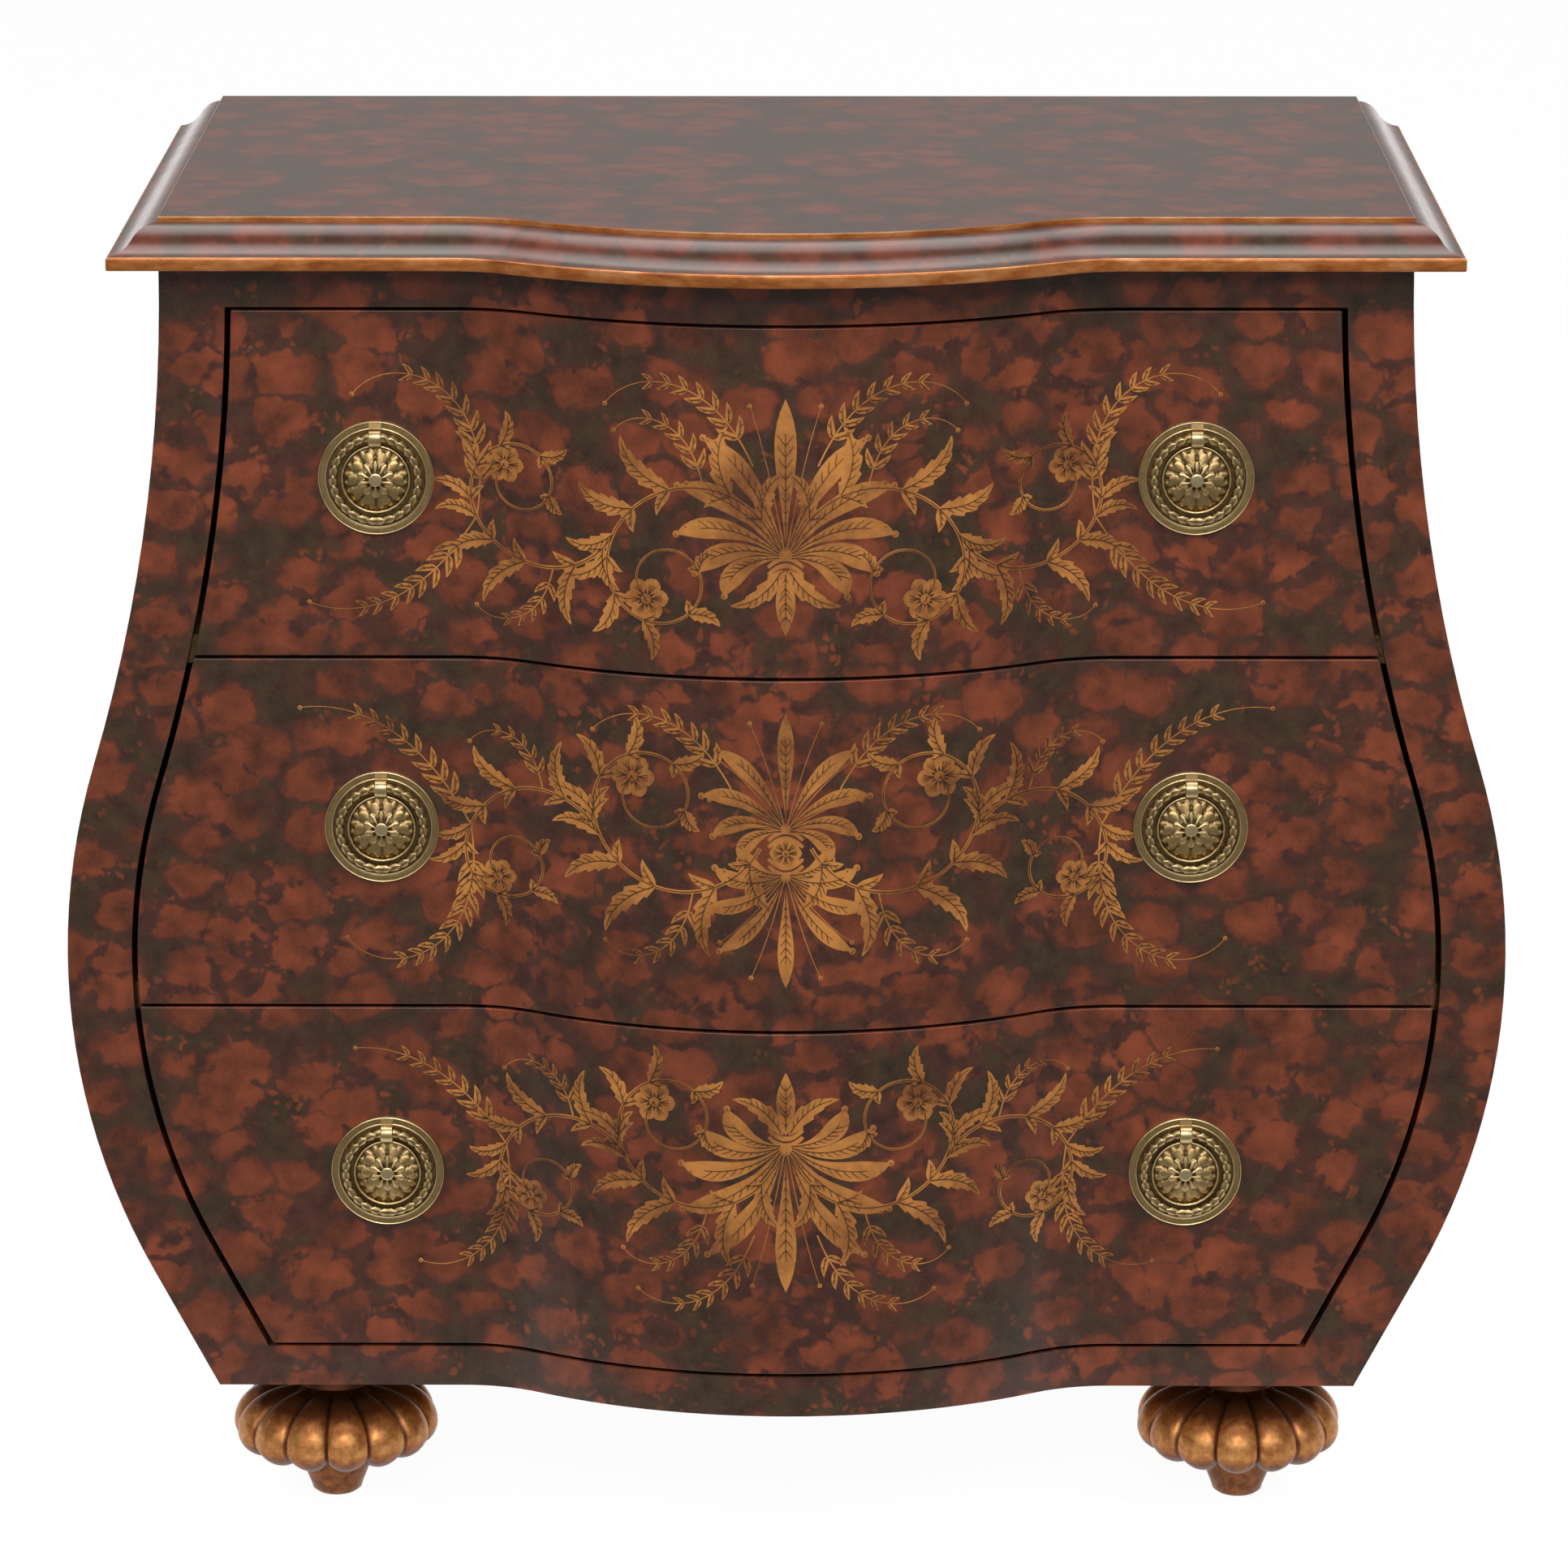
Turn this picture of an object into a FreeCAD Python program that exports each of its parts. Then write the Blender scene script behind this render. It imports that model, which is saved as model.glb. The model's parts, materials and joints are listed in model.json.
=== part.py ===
import FreeCAD, Part
import math
import os
import types

import Sketcher

# Bombe chest of three drawers: a case whose sides swell to a belly, with a serpentine bowed front,
# an ogee-edged top, four gadrooned bun feet and six ring pulls.
# +X is the viewer's right, -Y the front, +Z up; the origin is on the floor, under the middle of the
# whole chest. All sizes are millimetres and degrees.

Vector = FreeCAD.Vector
doc = FreeCAD.newDocument("bombe_chest")

# ---------------------------------------------------------------- driving dimensions
SIZES = {
    # case: the side curve runs from a straight skirt over the belly into a hollow neck, which
    # ends upright under the top
    "case_height": 736,
    "case_depth": 465,
    "top_half_width": 388,
    "belly_half_width": 457,
    "belly_level": 283,
    "belly_radius": 446,
    "skirt_angle": 27.4,
    # front: a bow in plan, blended into a flat at each end
    "bow_depth": 57,
    "bow_radius": 313,
    "blend_radius": 95,
    # boards of the case
    "frame_thickness": 22,
    "stile_width": 40.7,
    "top_rail_height": 27,
    "bottom_rail_height": 26.5,
    "side_thickness": 18,
    "back_thickness": 8,
    "bottom_thickness": 18,
    "divider_thickness": 18,
    "divider_depth": 50,
    "rear_rail_depth": 60,
    "runner_overlap": 35,
    "bottom_runner_width": 55,
    "guide_width": 14,
    "guide_height": 16,
    "guide_clearance": 0.8,
    "kicker_width": 30,
    "kicker_clearance": 4,
    "cleat_width": 22,
    "cleat_height": 24,
    # top board and its mouldings
    "top_thickness": 29,
    "front_overhang": 25,
    "side_overhang": 30,
    "moulding_width": 29.6,
    "lip_thickness": 8.5,
    "panel_step": 4,
    # drawers
    "side_gap": 3.6,
    "drawer_gap": 2,
    "bottom_front_height": 227,
    "middle_front_height": 227,
    "seat_gap": 0.3,
    "running_gap": 0.3,
    "box_side_clearance": 15.5,
    "box_rear_clearance": 15,
    "box_height": 204,
    "box_board": 12,
    "box_bottom_thickness": 6,
    "box_bottom_lift": 10,
    "groove_depth": 5,
    # feet
    "foot_height": 97,
    "glide_thickness": 2,
    "glide_radius": 5.5,
    "foot_inset_side": 69.8,
    "foot_inset_front": 65,
    "lobe_count": 14,
    "lobe_level": 53.5,
    "lobe_root_radius": 34,
    "lobe_reach": 32,
    "lobe_half_height": 31.5,
    "groove_share": 0.85,
    "lobe_flat_share": 0.5,
    "lobe_bands": 6,
    "foot_neck_radius": 27,
    "peg_top_radius": 20,
    "peg_toe_radius": 15,
    "foot_bolt_radius": 4,
    "foot_bolt_reach": 34,
    "foot_bolt_bite": 14,
    # cut nails of the back panel
    "nail_width": 3,
    "nail_length": 28,
    "nail_spread": 250,
    # ring pulls
    "pull_half_spacing": 255.5,
    "pull_rise": 4.5,
    "plate_radius": 36.2,
    "plate_band_height": 2,
    "plate_bead_height": 3.5,
    "plate_bead_width": 3.2,
    "rosette_radius": 21.8,
    "rosette_height": 6.5,
    "button_radius": 4,
    "button_height": 9,
    "ring_radius": 26.6,
    "ring_tube_radius": 2.9,
    "ring_leaves": 24,
    "ring_flats": 6,
    "ring_clearance": 0.4,
    "strap_width": 7.7,
    "strap_thickness": 1.5,
    "post_width": 4,
    "nut_radius": 4,
    "nut_height": 3.2,
}

sheet = doc.addObject("Spreadsheet::Sheet", "sizes")
for row, (alias, number) in enumerate(SIZES.items(), start=1):
    sheet.set(f"A{row}", str(number))
    sheet.setAlias(f"A{row}", alias)
doc.recompute()


class Size:
    """A number worked out from the sheet, with the expression that binds an object to it."""

    def __init__(self, value, text):
        self.value = float(value)
        self.text = text

    def __add__(self, other):
        other = as_size(other)
        return Size(self.value + other.value, f"({self.text} + {other.text})")

    def __radd__(self, other):
        return as_size(other) + self

    def __sub__(self, other):
        other = as_size(other)
        return Size(self.value - other.value, f"({self.text} - {other.text})")

    def __rsub__(self, other):
        return as_size(other) - self

    def __mul__(self, other):
        other = as_size(other)
        return Size(self.value * other.value, f"({self.text} * {other.text})")

    def __rmul__(self, other):
        return as_size(other) * self

    def __truediv__(self, other):
        other = as_size(other)
        return Size(self.value / other.value, f"({self.text} / {other.text})")

    def __rtruediv__(self, other):
        return as_size(other) / self

    def __neg__(self):
        return Size(-self.value, f"(0 - {self.text})")


def as_size(number):
    return number if isinstance(number, Size) else Size(number, repr(float(number)))


def sine(angle):
    return Size(math.sin(math.radians(angle.value)), f"sin({angle.text})")


def cosine(angle):
    return Size(math.cos(math.radians(angle.value)), f"cos({angle.text})")


def root(number):
    return Size(math.sqrt(number.value), f"sqrt({number.text})")


def smaller(first, second):
    return Size(min(first.value, second.value), f"min({first.text}; {second.text})")


size = types.SimpleNamespace(**{alias: Size(number, f"sizes.{alias}") for alias, number in SIZES.items()})
ZERO = as_size(0)

# ---------------------------------------------------------------- places worked out from them
case_bottom = size.foot_height + size.glide_thickness
case_top = case_bottom + size.case_height
front = (size.bow_depth + size.front_overhang - size.case_depth) / 2
back = front + size.case_depth
frame_back = front + size.frame_thickness
panel_back = back - size.back_thickness
lip_half_width = size.top_half_width + size.side_overhang
panel_half_width = lip_half_width - size.moulding_width
moulding_height = size.top_thickness - size.panel_step
pad_reach = size.belly_half_width + size.side_overhang


# ---------------------------------------------------------------- binding and sketching
def bind(item, name, amount):
    """Give one property of an object its value, tied to the sheet."""
    item.setExpression(name, as_size(amount).text)


def place(item, x=ZERO, y=ZERO, z=ZERO, rotation=None):
    x, y, z = as_size(x), as_size(y), as_size(z)
    turn = rotation or FreeCAD.Rotation()
    item.Placement = FreeCAD.Placement(Vector(x.value, y.value, z.value), turn)
    for axis, amount in (("x", x), ("y", y), ("z", z)):
        bind(item, f"Placement.Base.{axis}", amount)


def outline(sketch, corners):
    """Draw a run of lines and arcs through the corners, closed, each corner tied to the sheet.

    A corner is (x, y), or (x, y, radius, turn) where an arc leads to it: turn is 1 for
    counter-clockwise and -1 for clockwise.
    """
    corners = [tuple(as_size(number) for number in corner) for corner in corners]
    ends = []
    for index, corner in enumerate(corners):
        x, y = corner[:2]
        start = Vector(corners[index - 1][0].value, corners[index - 1][1].value, 0)
        end = Vector(x.value, y.value, 0)
        if len(corner) == 2:
            number = sketch.addGeometry(Part.LineSegment(start, end))
            ends.append((number, 1, 2))
        else:
            radius, turn = corner[2], corner[3].value
            chord = end - start
            across = Vector(-chord.y, chord.x, 0) * (turn / chord.Length)
            rise = math.sqrt(radius.value ** 2 - chord.Length ** 2 / 4)
            centre = (start + end) * 0.5 + across * rise
            first, last = (start, end) if turn > 0 else (end, start)
            circle = Part.Circle(centre, Vector(0, 0, 1), radius.value)
            angles = [math.atan2(point.y - centre.y, point.x - centre.x) for point in (first, last)]
            number = sketch.addGeometry(Part.ArcOfCircle(circle, *angles))
            ends.append((number, 1, 2) if turn > 0 else (number, 2, 1))
            rule = sketch.addConstraint(Sketcher.Constraint("Radius", number, radius.value))
            bind(sketch, f"Constraints[{rule}]", radius)
    for index, (number, _, last) in enumerate(ends):
        follower, first, _ = ends[(index + 1) % len(ends)]
        sketch.addConstraint(Sketcher.Constraint("Coincident", number, last, follower, first))
        for kind, amount in zip(("DistanceX", "DistanceY"), corners[index][:2]):
            rule = sketch.addConstraint(Sketcher.Constraint(kind, -1, 1, number, last, amount.value))
            bind(sketch, f"Constraints[{rule}]", amount)


def open_run(sketch, corners):
    """As outline, but without the stretch that closes it."""
    outline(sketch, corners)
    sketch.delGeometry(0)


def mirrored(run):
    """The same run on the other side of the middle."""
    return [(-x, y, arc[0], -arc[1]) if arc else (-x, y) for x, y, *arc in run]


def turned(run):
    """The same run, drawn the other way."""
    result = [run[-1][:2]]
    for corner, after in zip(reversed(run[:-1]), reversed(run[1:])):
        arc = (after[2], -after[3]) if len(after) > 2 else ()
        result.append(corner[:2] + arc)
    return result


PLANE_TURN = {
    "XY": FreeCAD.Rotation(),
    "XZ": FreeCAD.Rotation(Vector(1, 0, 0), 90),
    "YZ": FreeCAD.Rotation(Vector(1, 1, 1), 120),
}


def new_body(label, x=ZERO, y=ZERO, z=ZERO):
    body = doc.addObject("PartDesign::Body", label)
    body.Label = label
    place(body, x, y, z)
    return body


def body_sketch(body, plane, name, corners, lift=None, draw=outline):
    """A sketch on one of the body's own planes, lifted along that plane's normal."""
    sketch = body.newObject("Sketcher::SketchObject", name)
    support = next(item for item in body.Origin.OriginFeatures if item.Role == f"{plane}_Plane")
    sketch.AttachmentSupport = [(support, "")]
    sketch.MapMode = "FlatFace"
    if lift is not None:
        sketch.AttachmentOffset = FreeCAD.Placement(Vector(0, 0, as_size(lift).value), FreeCAD.Rotation())
        bind(sketch, "AttachmentOffset.Base.z", lift)
    draw(sketch, corners)
    return sketch


def pad(body, plane, corners, length, name="pad", lift=None, reverse=False):
    feature = body.newObject("PartDesign::Pad", name)
    feature.Profile = body_sketch(body, plane, f"{name}_outline", corners, lift)
    feature.Reversed = reverse
    bind(feature, "Length", length)
    return feature


def pocket(body, plane, corners, length=None, name="pocket"):
    """A cut of one outline: as deep as length, or right through both ways."""
    feature = body.newObject("PartDesign::Pocket", name)
    feature.Profile = body_sketch(body, plane, f"{name}_outline", corners)
    if length is None:
        feature.Type = "ThroughAll"
        feature.SideType = "Symmetric"
    else:
        bind(feature, "Length", length)
    return feature


def rectangle(low_x, low_y, high_x, high_y):
    return [(low_x, low_y), (high_x, low_y), (high_x, high_y), (low_x, high_y)]


def prism(name, plane, corners, length, x=ZERO, y=ZERO, z=ZERO):
    """A solid of one outline, drawn up from XY or back from XZ."""
    sketch = doc.addObject("Sketcher::SketchObject", f"{name}_outline")
    place(sketch, x, y, z, PLANE_TURN[plane])
    outline(sketch, corners)
    solid = doc.addObject("Part::Extrusion", name)
    solid.Base = sketch
    solid.DirMode = "Normal"
    solid.Solid = True
    solid.Reversed = plane == "XZ"
    bind(solid, "LengthFwd", length)
    return solid


def box(name, low, high):
    """A board between two corners."""
    solid = doc.addObject("Part::Box", name)
    place(solid, *low)
    for side, start, end in zip(("Length", "Width", "Height"), low, high):
        bind(solid, side, as_size(end) - start)
    return solid


def rod(name, radius, length, x, y, z, flats=12, rotation=None):
    """A bar of flat sides that stands on a point: twelve of them stand for a small round one."""
    solid = doc.addObject("Part::Prism", name)
    solid.Polygon = flats
    bind(solid, "Circumradius", radius)
    bind(solid, "Height", length)
    place(solid, x, y, z, rotation)
    return solid


def combine(kind, label, solids):
    """Part::MultiCommon, Part::MultiFuse, or Part::Compound for a group of separate solids."""
    result = doc.addObject(kind, label)
    result.Label = label
    if kind == "Part::Compound":
        result.Links = solids
    else:
        result.Shapes = solids
    return result


def cut(label, base, tool):
    result = doc.addObject("Part::Cut", label)
    result.Label = label
    result.Base = base
    result.Tool = tool
    return result


nodes = {}


def keep(item):
    """List a finished sub-part under its label."""
    nodes[item.Label] = item
    return item


# ---------------------------------------------------------------- the two curves of the case
def side_curve(inset):
    """The right-hand side in elevation, from the case's bottom to its top, moved inwards."""
    inset = as_size(inset)
    skirt_sin, skirt_cos = sine(size.skirt_angle), cosine(size.skirt_angle)
    belly = size.belly_radius - inset
    belly_x = size.belly_half_width - size.belly_radius
    skirt_end = (belly_x + belly * skirt_cos, size.belly_level - belly * skirt_sin)
    # the neck's arc is the one that touches the belly's arc and stands upright at the top
    across = size.top_half_width - belly_x
    rise = size.case_height - size.belly_level
    swell = size.belly_half_width - size.top_half_width
    neck_radius = (across * across + rise * rise - size.belly_radius * size.belly_radius) / (2 * swell)
    reach = size.belly_radius + neck_radius
    meeting = (belly_x + belly * (across + neck_radius) / reach, size.belly_level + belly * rise / reach)
    return [
        (skirt_end[0] - skirt_end[1] * skirt_sin / skirt_cos, ZERO),
        skirt_end,
        (*meeting, belly, 1),
        (size.top_half_width - inset, size.case_height, neck_radius + inset, -1),
    ]


def bow_curve(stand_out, half_width):
    """The front in plan, left to right, moved forwards; y is 0 on the case's flat."""
    stand_out = as_size(stand_out)
    bow = size.bow_radius + stand_out
    blend = size.blend_radius - stand_out
    reach = size.bow_radius + size.blend_radius
    flat_end = root(2 * reach * size.bow_depth - size.bow_depth * size.bow_depth)
    meet_x = flat_end * bow / reach
    meet_y = size.bow_radius - size.bow_depth - (reach - size.bow_depth) * bow / reach
    return [
        (-half_width, -stand_out),
        (-flat_end, -stand_out),
        (-meet_x, meet_y, blend, -1),
        (meet_x, meet_y, bow, 1),
        (flat_end, -stand_out, blend, -1),
        (half_width, -stand_out),
    ]


def case_section(name, inset):
    """The whole case in elevation, moved inwards, through its full depth."""
    right = side_curve(inset)
    corners = right + turned(mirrored(right))
    length = size.case_depth + 2 * size.bow_depth
    return prism(name, "XZ", corners, length, y=front - size.bow_depth, z=case_bottom)


inside = case_section("inside_section", size.side_thickness)
opening = case_section("opening_section", size.stile_width)
front_section = case_section("drawer_front_section", size.stile_width + size.side_gap)


def bowed_strip(name, stand_out, thickness, bottom, height):
    """A bent board that follows the bow, wider than the case."""
    face = bow_curve(stand_out, pad_reach)
    rear = bow_curve(stand_out - thickness, pad_reach)
    return prism(name, "XY", face + turned(rear), height, y=front, z=bottom)


# ---------------------------------------------------------------- case: frame and boards
def curved_upright(label, side, inset, start, length):
    """A board bent to the side curve, standing between two depths; side is 1 or -1."""
    outer = side_curve(0)
    inner = side_curve(inset)
    run = outer + turned(inner)
    body = new_body(label, y=start, z=case_bottom)
    pad(body, "XZ", run if side > 0 else mirrored(run), length, reverse=True)
    return keep(body)


SIDES = (("left", -1), ("right", 1))
for word, side in SIDES:
    curved_upright(f"{word}_stile", side, size.stile_width, front, size.frame_thickness)
    curved_upright(f"{word}_side", side, size.side_thickness, frame_back, size.case_depth - size.frame_thickness)

top_strip = bowed_strip("top_rail_strip", ZERO, size.frame_thickness,
                        case_top - size.top_rail_height, size.top_rail_height)
keep(combine("Part::MultiCommon", "top_rail", [top_strip, opening]))
bottom_strip = bowed_strip("bottom_rail_strip", ZERO, size.frame_thickness,
                           case_bottom, size.bottom_rail_height)
keep(combine("Part::MultiCommon", "bottom_rail", [bottom_strip, opening]))


def bowed_board(name, setback, rear, bottom, thickness):
    """A flat board whose front edge follows the bow and whose back edge is straight."""
    corners = bow_curve(-setback, pad_reach) + [(pad_reach, rear - front), (-pad_reach, rear - front)]
    return prism(name, "XY", corners, thickness, y=front, z=bottom)


# ---------------------------------------------------------------- drawer levels, from the bottom up
bottom_front_z = case_bottom + size.bottom_rail_height + size.drawer_gap
middle_front_z = bottom_front_z + size.bottom_front_height + size.drawer_gap
top_front_z = middle_front_z + size.middle_front_height + size.drawer_gap
top_front_height = case_top - size.top_rail_height - size.drawer_gap - top_front_z
half_divider = (size.divider_thickness - size.drawer_gap) / 2

LEVELS = {
    "bottom": (bottom_front_z, size.bottom_front_height),
    "middle": (middle_front_z, size.middle_front_height),
    "top": (top_front_z, top_front_height),
}
divider_back = frame_back + size.divider_depth
rear_rail_front = panel_back - size.rear_rail_depth

# the drawer boxes clear the narrower end of the opening: its top, or the bottom front's lower edge
opening_foot = side_curve(size.stile_width)[0][0]
opening_spread = (size.bottom_rail_height + size.drawer_gap) * sine(size.skirt_angle) / cosine(size.skirt_angle)
narrow_opening = smaller(size.top_half_width - size.stile_width, opening_foot + opening_spread)
box_half_width = narrow_opening - size.box_side_clearance
box_depth = panel_back - frame_back - size.box_rear_clearance
guide_start = box_half_width + size.guide_clearance
runner_start = box_half_width - size.runner_overlap


def pair(name, low_x, high_x, low_y, high_y, low_z, high_z):
    """The same strip on the left and on the right."""
    right = box(f"{name}_right_strip", (low_x, low_y, low_z), (high_x, high_y, high_z))
    left = box(f"{name}_left_strip", (-high_x, low_y, low_z), (-low_x, high_y, high_z))
    return [right, left]


def inside_case(name, solid):
    """Trim a board to the inner faces of the side boards."""
    return combine("Part::MultiCommon", name, [solid, inside])


rear_rails = []
guides = []
for word, level in (("lower", "middle"), ("upper", "top")):
    runner_top = LEVELS[level][0] + half_divider
    divider_bottom = runner_top - size.divider_thickness
    rail = bowed_board(f"{word}_divider_board", size.frame_thickness + size.seat_gap, divider_back,
                       divider_bottom, size.divider_thickness)
    keep(inside_case(f"{word}_divider_rail", rail))
    runners = pair(f"{word}_runner", runner_start, pad_reach, divider_back, rear_rail_front,
                   divider_bottom, runner_top)
    trimmed = [inside_case(f"{strip.Name}_trimmed", strip) for strip in runners]
    keep(combine("Part::Compound", f"{word}_runners", trimmed))
    rear = box(f"{word}_rear_board", (-pad_reach, rear_rail_front, divider_bottom),
               (pad_reach, panel_back, runner_top))
    rear_rails.append(inside_case(f"{word}_rear_rail", rear))

bottom_board_top = case_bottom + size.bottom_thickness
bottom_runners = pair("bottom_runner", runner_start, runner_start + size.bottom_runner_width,
                      frame_back, panel_back, bottom_board_top, bottom_front_z + half_divider)
keep(combine("Part::Compound", "bottom_runners",
             [inside_case(f"{strip.Name}_trimmed", strip) for strip in bottom_runners]))

for level, (front_z, _) in LEVELS.items():
    runner_top = front_z + half_divider
    guides += pair(f"{level}_guide", guide_start, guide_start + size.guide_width, divider_back,
                   rear_rail_front, runner_top, runner_top + size.guide_height)
keep(combine("Part::Compound", "drawer_guides", guides))

box_top = top_front_z + half_divider + size.running_gap + size.box_height
rear_top_front = panel_back - size.cleat_width
keep(combine("Part::Compound", "top_kickers",
             pair("top_kicker", guide_start - size.kicker_width, guide_start, frame_back,
                  rear_top_front, box_top + size.kicker_clearance, case_top)))
side_inner_top = size.top_half_width - size.side_thickness
cleats = pair("top_cleat", side_inner_top - size.cleat_width, pad_reach, frame_back,
              rear_top_front, case_top - size.cleat_height, case_top)
keep(combine("Part::Compound", "top_cleats",
             [inside_case(f"{strip.Name}_trimmed", strip) for strip in cleats]))
rear_top = inside_case("rear_top_blank", box("rear_top_board",
                                             (-pad_reach, rear_top_front, case_top - size.cleat_height),
                                             (pad_reach, panel_back, case_top)))

# ---------------------------------------------------------------- feet, with their bolts and glides
foot_x = side_curve(ZERO)[0][0] - size.foot_inset_side
FEET = {
    f"{end}_{word}_foot": (side * foot_x, y)
    for end, y in (("front", front + size.foot_inset_front), ("rear", back - size.foot_inset_front))
    for word, side in SIDES
}
foot_bolts = combine("Part::Compound", "foot_bolts", [
    rod(f"{label}_bolt", size.foot_bolt_radius, size.foot_bolt_reach + size.foot_bolt_bite,
        x, y, case_bottom - size.foot_bolt_reach)
    for label, (x, y) in FEET.items()])
keep(foot_bolts)
keep(combine("Part::Compound", "foot_glides", [
    rod(f"{label}_glide", size.glide_radius, size.glide_thickness, x, y, ZERO)
    for label, (x, y) in FEET.items()]))


def faceted(name, rings, closed=False):
    """A solid of flat faces between rings of points: capped at both ends, or closed into a loop."""
    faces = []
    for index, ring in enumerate(rings if closed else rings[:-1]):
        above = rings[(index + 1) % len(rings)]
        for number, point in enumerate(ring):
            after = (number + 1) % len(ring)
            faces.append(Part.Face(Part.makePolygon([point, ring[after], above[after], above[number], point])))
    if not closed:
        faces += [Part.Face(Part.makePolygon(ring + ring[:1])) for ring in (rings[0], rings[-1])]
    solid = doc.addObject("Part::Feature", name)
    solid.Shape = Part.makeSolid(Part.makeShell(faces))
    return solid


def foot_ring(crest, level, groove_share=1):
    """The foot's outline at one level: each lobe is a flat crest that falls off to a groove each side."""
    half_pitch = math.pi / SIZES["lobe_count"]
    points = []
    for lobe in range(SIZES["lobe_count"]):
        middle = 2 * lobe * half_pitch
        for turn, radius in ((middle - half_pitch, crest * groove_share),
                             (middle - half_pitch * SIZES["lobe_flat_share"], crest),
                             (middle + half_pitch * SIZES["lobe_flat_share"], crest)):
            points.append(Vector(radius * math.cos(turn), radius * math.sin(turn), level))
    return points


def foot_rings():
    """The foot from its toe up: a round tapered peg, the lobed bun between flat ends, a round neck."""
    bun_bottom = SIZES["lobe_level"] - SIZES["lobe_half_height"]
    bun_top = SIZES["lobe_level"] + SIZES["lobe_half_height"]
    rings = [foot_ring(SIZES["peg_toe_radius"], 0), foot_ring(SIZES["peg_top_radius"], bun_bottom)]
    for step in range(SIZES["lobe_bands"] + 1):
        rise = math.pi * (step / SIZES["lobe_bands"] - 0.5)
        rings.append(foot_ring(SIZES["lobe_root_radius"] + SIZES["lobe_reach"] * math.cos(rise),
                               SIZES["lobe_level"] + SIZES["lobe_half_height"] * math.sin(rise),
                               SIZES["groove_share"]))
    return rings + [foot_ring(SIZES["foot_neck_radius"], level) for level in (bun_top, SIZES["foot_height"])]


bolt_bore = rod("foot_bolt_bore", size.foot_bolt_radius, size.foot_bolt_reach, ZERO, ZERO,
                size.foot_height - size.foot_bolt_reach)
bun = cut("bun_foot", faceted("foot_blank", foot_rings()), bolt_bore)
for label, (x, y) in FEET.items():
    foot = combine("Part::Compound", label, [bun])
    place(foot, x, y, size.glide_thickness)
    keep(foot)

# ---------------------------------------------------------------- back, bottom and their nails
nail_levels = {
    "bottom": case_bottom + size.bottom_thickness / 2,
    "lower": middle_front_z - size.drawer_gap / 2,
    "upper": top_front_z - size.drawer_gap / 2,
    "top": case_top - size.cleat_height / 2,
}
nails = []
for word, z in nail_levels.items():
    for place_word, across in (("left", -1), ("middle", 0), ("right", 1)):
        x = across * size.nail_spread - size.nail_width / 2
        low_z = z - size.nail_width / 2
        nails.append(box(f"{word}_{place_word}_nail", (x, back - size.nail_length, low_z),
                         (x + size.nail_width, back, low_z + size.nail_width)))
back_nails = combine("Part::Compound", "back_nails", nails)
keep(back_nails)

panel = box("back_board", (-pad_reach, panel_back, case_bottom), (pad_reach, back, case_top))
keep(cut("back_panel", inside_case("back_panel_blank", panel), back_nails))
keep(cut("rear_rails", combine("Part::Compound", "rear_rail_blanks", rear_rails), back_nails))
keep(cut("rear_top_rail", rear_top, back_nails))
floor_board = bowed_board("bottom_board_plan", size.frame_thickness, panel_back, case_bottom,
                          size.bottom_thickness)
fixings = combine("Part::Compound", "bottom_fixings", [foot_bolts, back_nails])
keep(cut("bottom_board", inside_case("bottom_board_blank", floor_board), fixings))

# ---------------------------------------------------------------- top board and mouldings
panel_stand_out = size.front_overhang - size.moulding_width
panel_plan = bow_curve(panel_stand_out, panel_half_width)
top_panel = new_body("top_panel", y=front, z=case_top)
pad(top_panel, "XY", panel_plan + [(panel_half_width, size.case_depth), (-panel_half_width, size.case_depth)],
    size.top_thickness)
keep(top_panel)


def moulding_section(inner, outward):
    """The ogee in section: square lip below, hollow, then round; outward is 1 or -1 along x."""
    half_run = size.moulding_width / 2
    half_rise = (moulding_height - size.lip_thickness) / 2
    curve = (half_run * half_run + half_rise * half_rise) / (2 * half_rise)
    run = [
        (ZERO, ZERO),
        (size.moulding_width, ZERO),
        (size.moulding_width, size.lip_thickness),
        (half_run, size.lip_thickness + half_rise, curve, -1),
        (ZERO, moulding_height, curve, 1),
    ]
    return [(inner + outward * x, y, arc[0], outward * arc[1]) if arc else (inner + outward * x, y)
            for x, y, *arc in run]


def mitre_line(side):
    """Two points of the 45 degree joint at a front corner: at the panel, and past the lip."""
    inner_y = -panel_stand_out
    tip = (side * (panel_half_width + 2 * size.moulding_width), inner_y - 2 * size.moulding_width)
    return (side * panel_half_width, inner_y), tip


front_moulding = new_body("front_moulding", y=front, z=case_top)
spine_plan = bow_curve(panel_stand_out, lip_half_width)
spine = body_sketch(front_moulding, "XY", "moulding_path", spine_plan, draw=open_run)
section = body_sketch(front_moulding, "YZ", "moulding_outline",
                      moulding_section(-panel_stand_out, -1), lift=-lip_half_width)
sweep = front_moulding.newObject("PartDesign::AdditivePipe", "sweep")
sweep.Profile = section
sweep.Spine = (spine, [f"Edge{number}" for number in range(1, len(spine_plan))])
for word, side in SIDES:
    corner, tip = mitre_line(side)
    pocket(front_moulding, "XY", [corner, tip, (tip[0], corner[1])], name=f"{word}_mitre")
keep(front_moulding)

for word, side in SIDES:
    body = new_body(f"{word}_moulding", y=front, z=case_top)
    pad(body, "XZ", moulding_section(side * panel_half_width, side),
        size.case_depth + size.front_overhang, lift=size.front_overhang, reverse=True)
    corner, tip = mitre_line(side)
    pocket(body, "XY", [corner, tip, (corner[0], tip[1])], name="mitre")
    keep(body)


# ---------------------------------------------------------------- drawers
post_length = size.frame_thickness + 2 * size.nut_height
ring_level = size.plate_band_height + size.ring_clearance + size.ring_tube_radius


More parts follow.
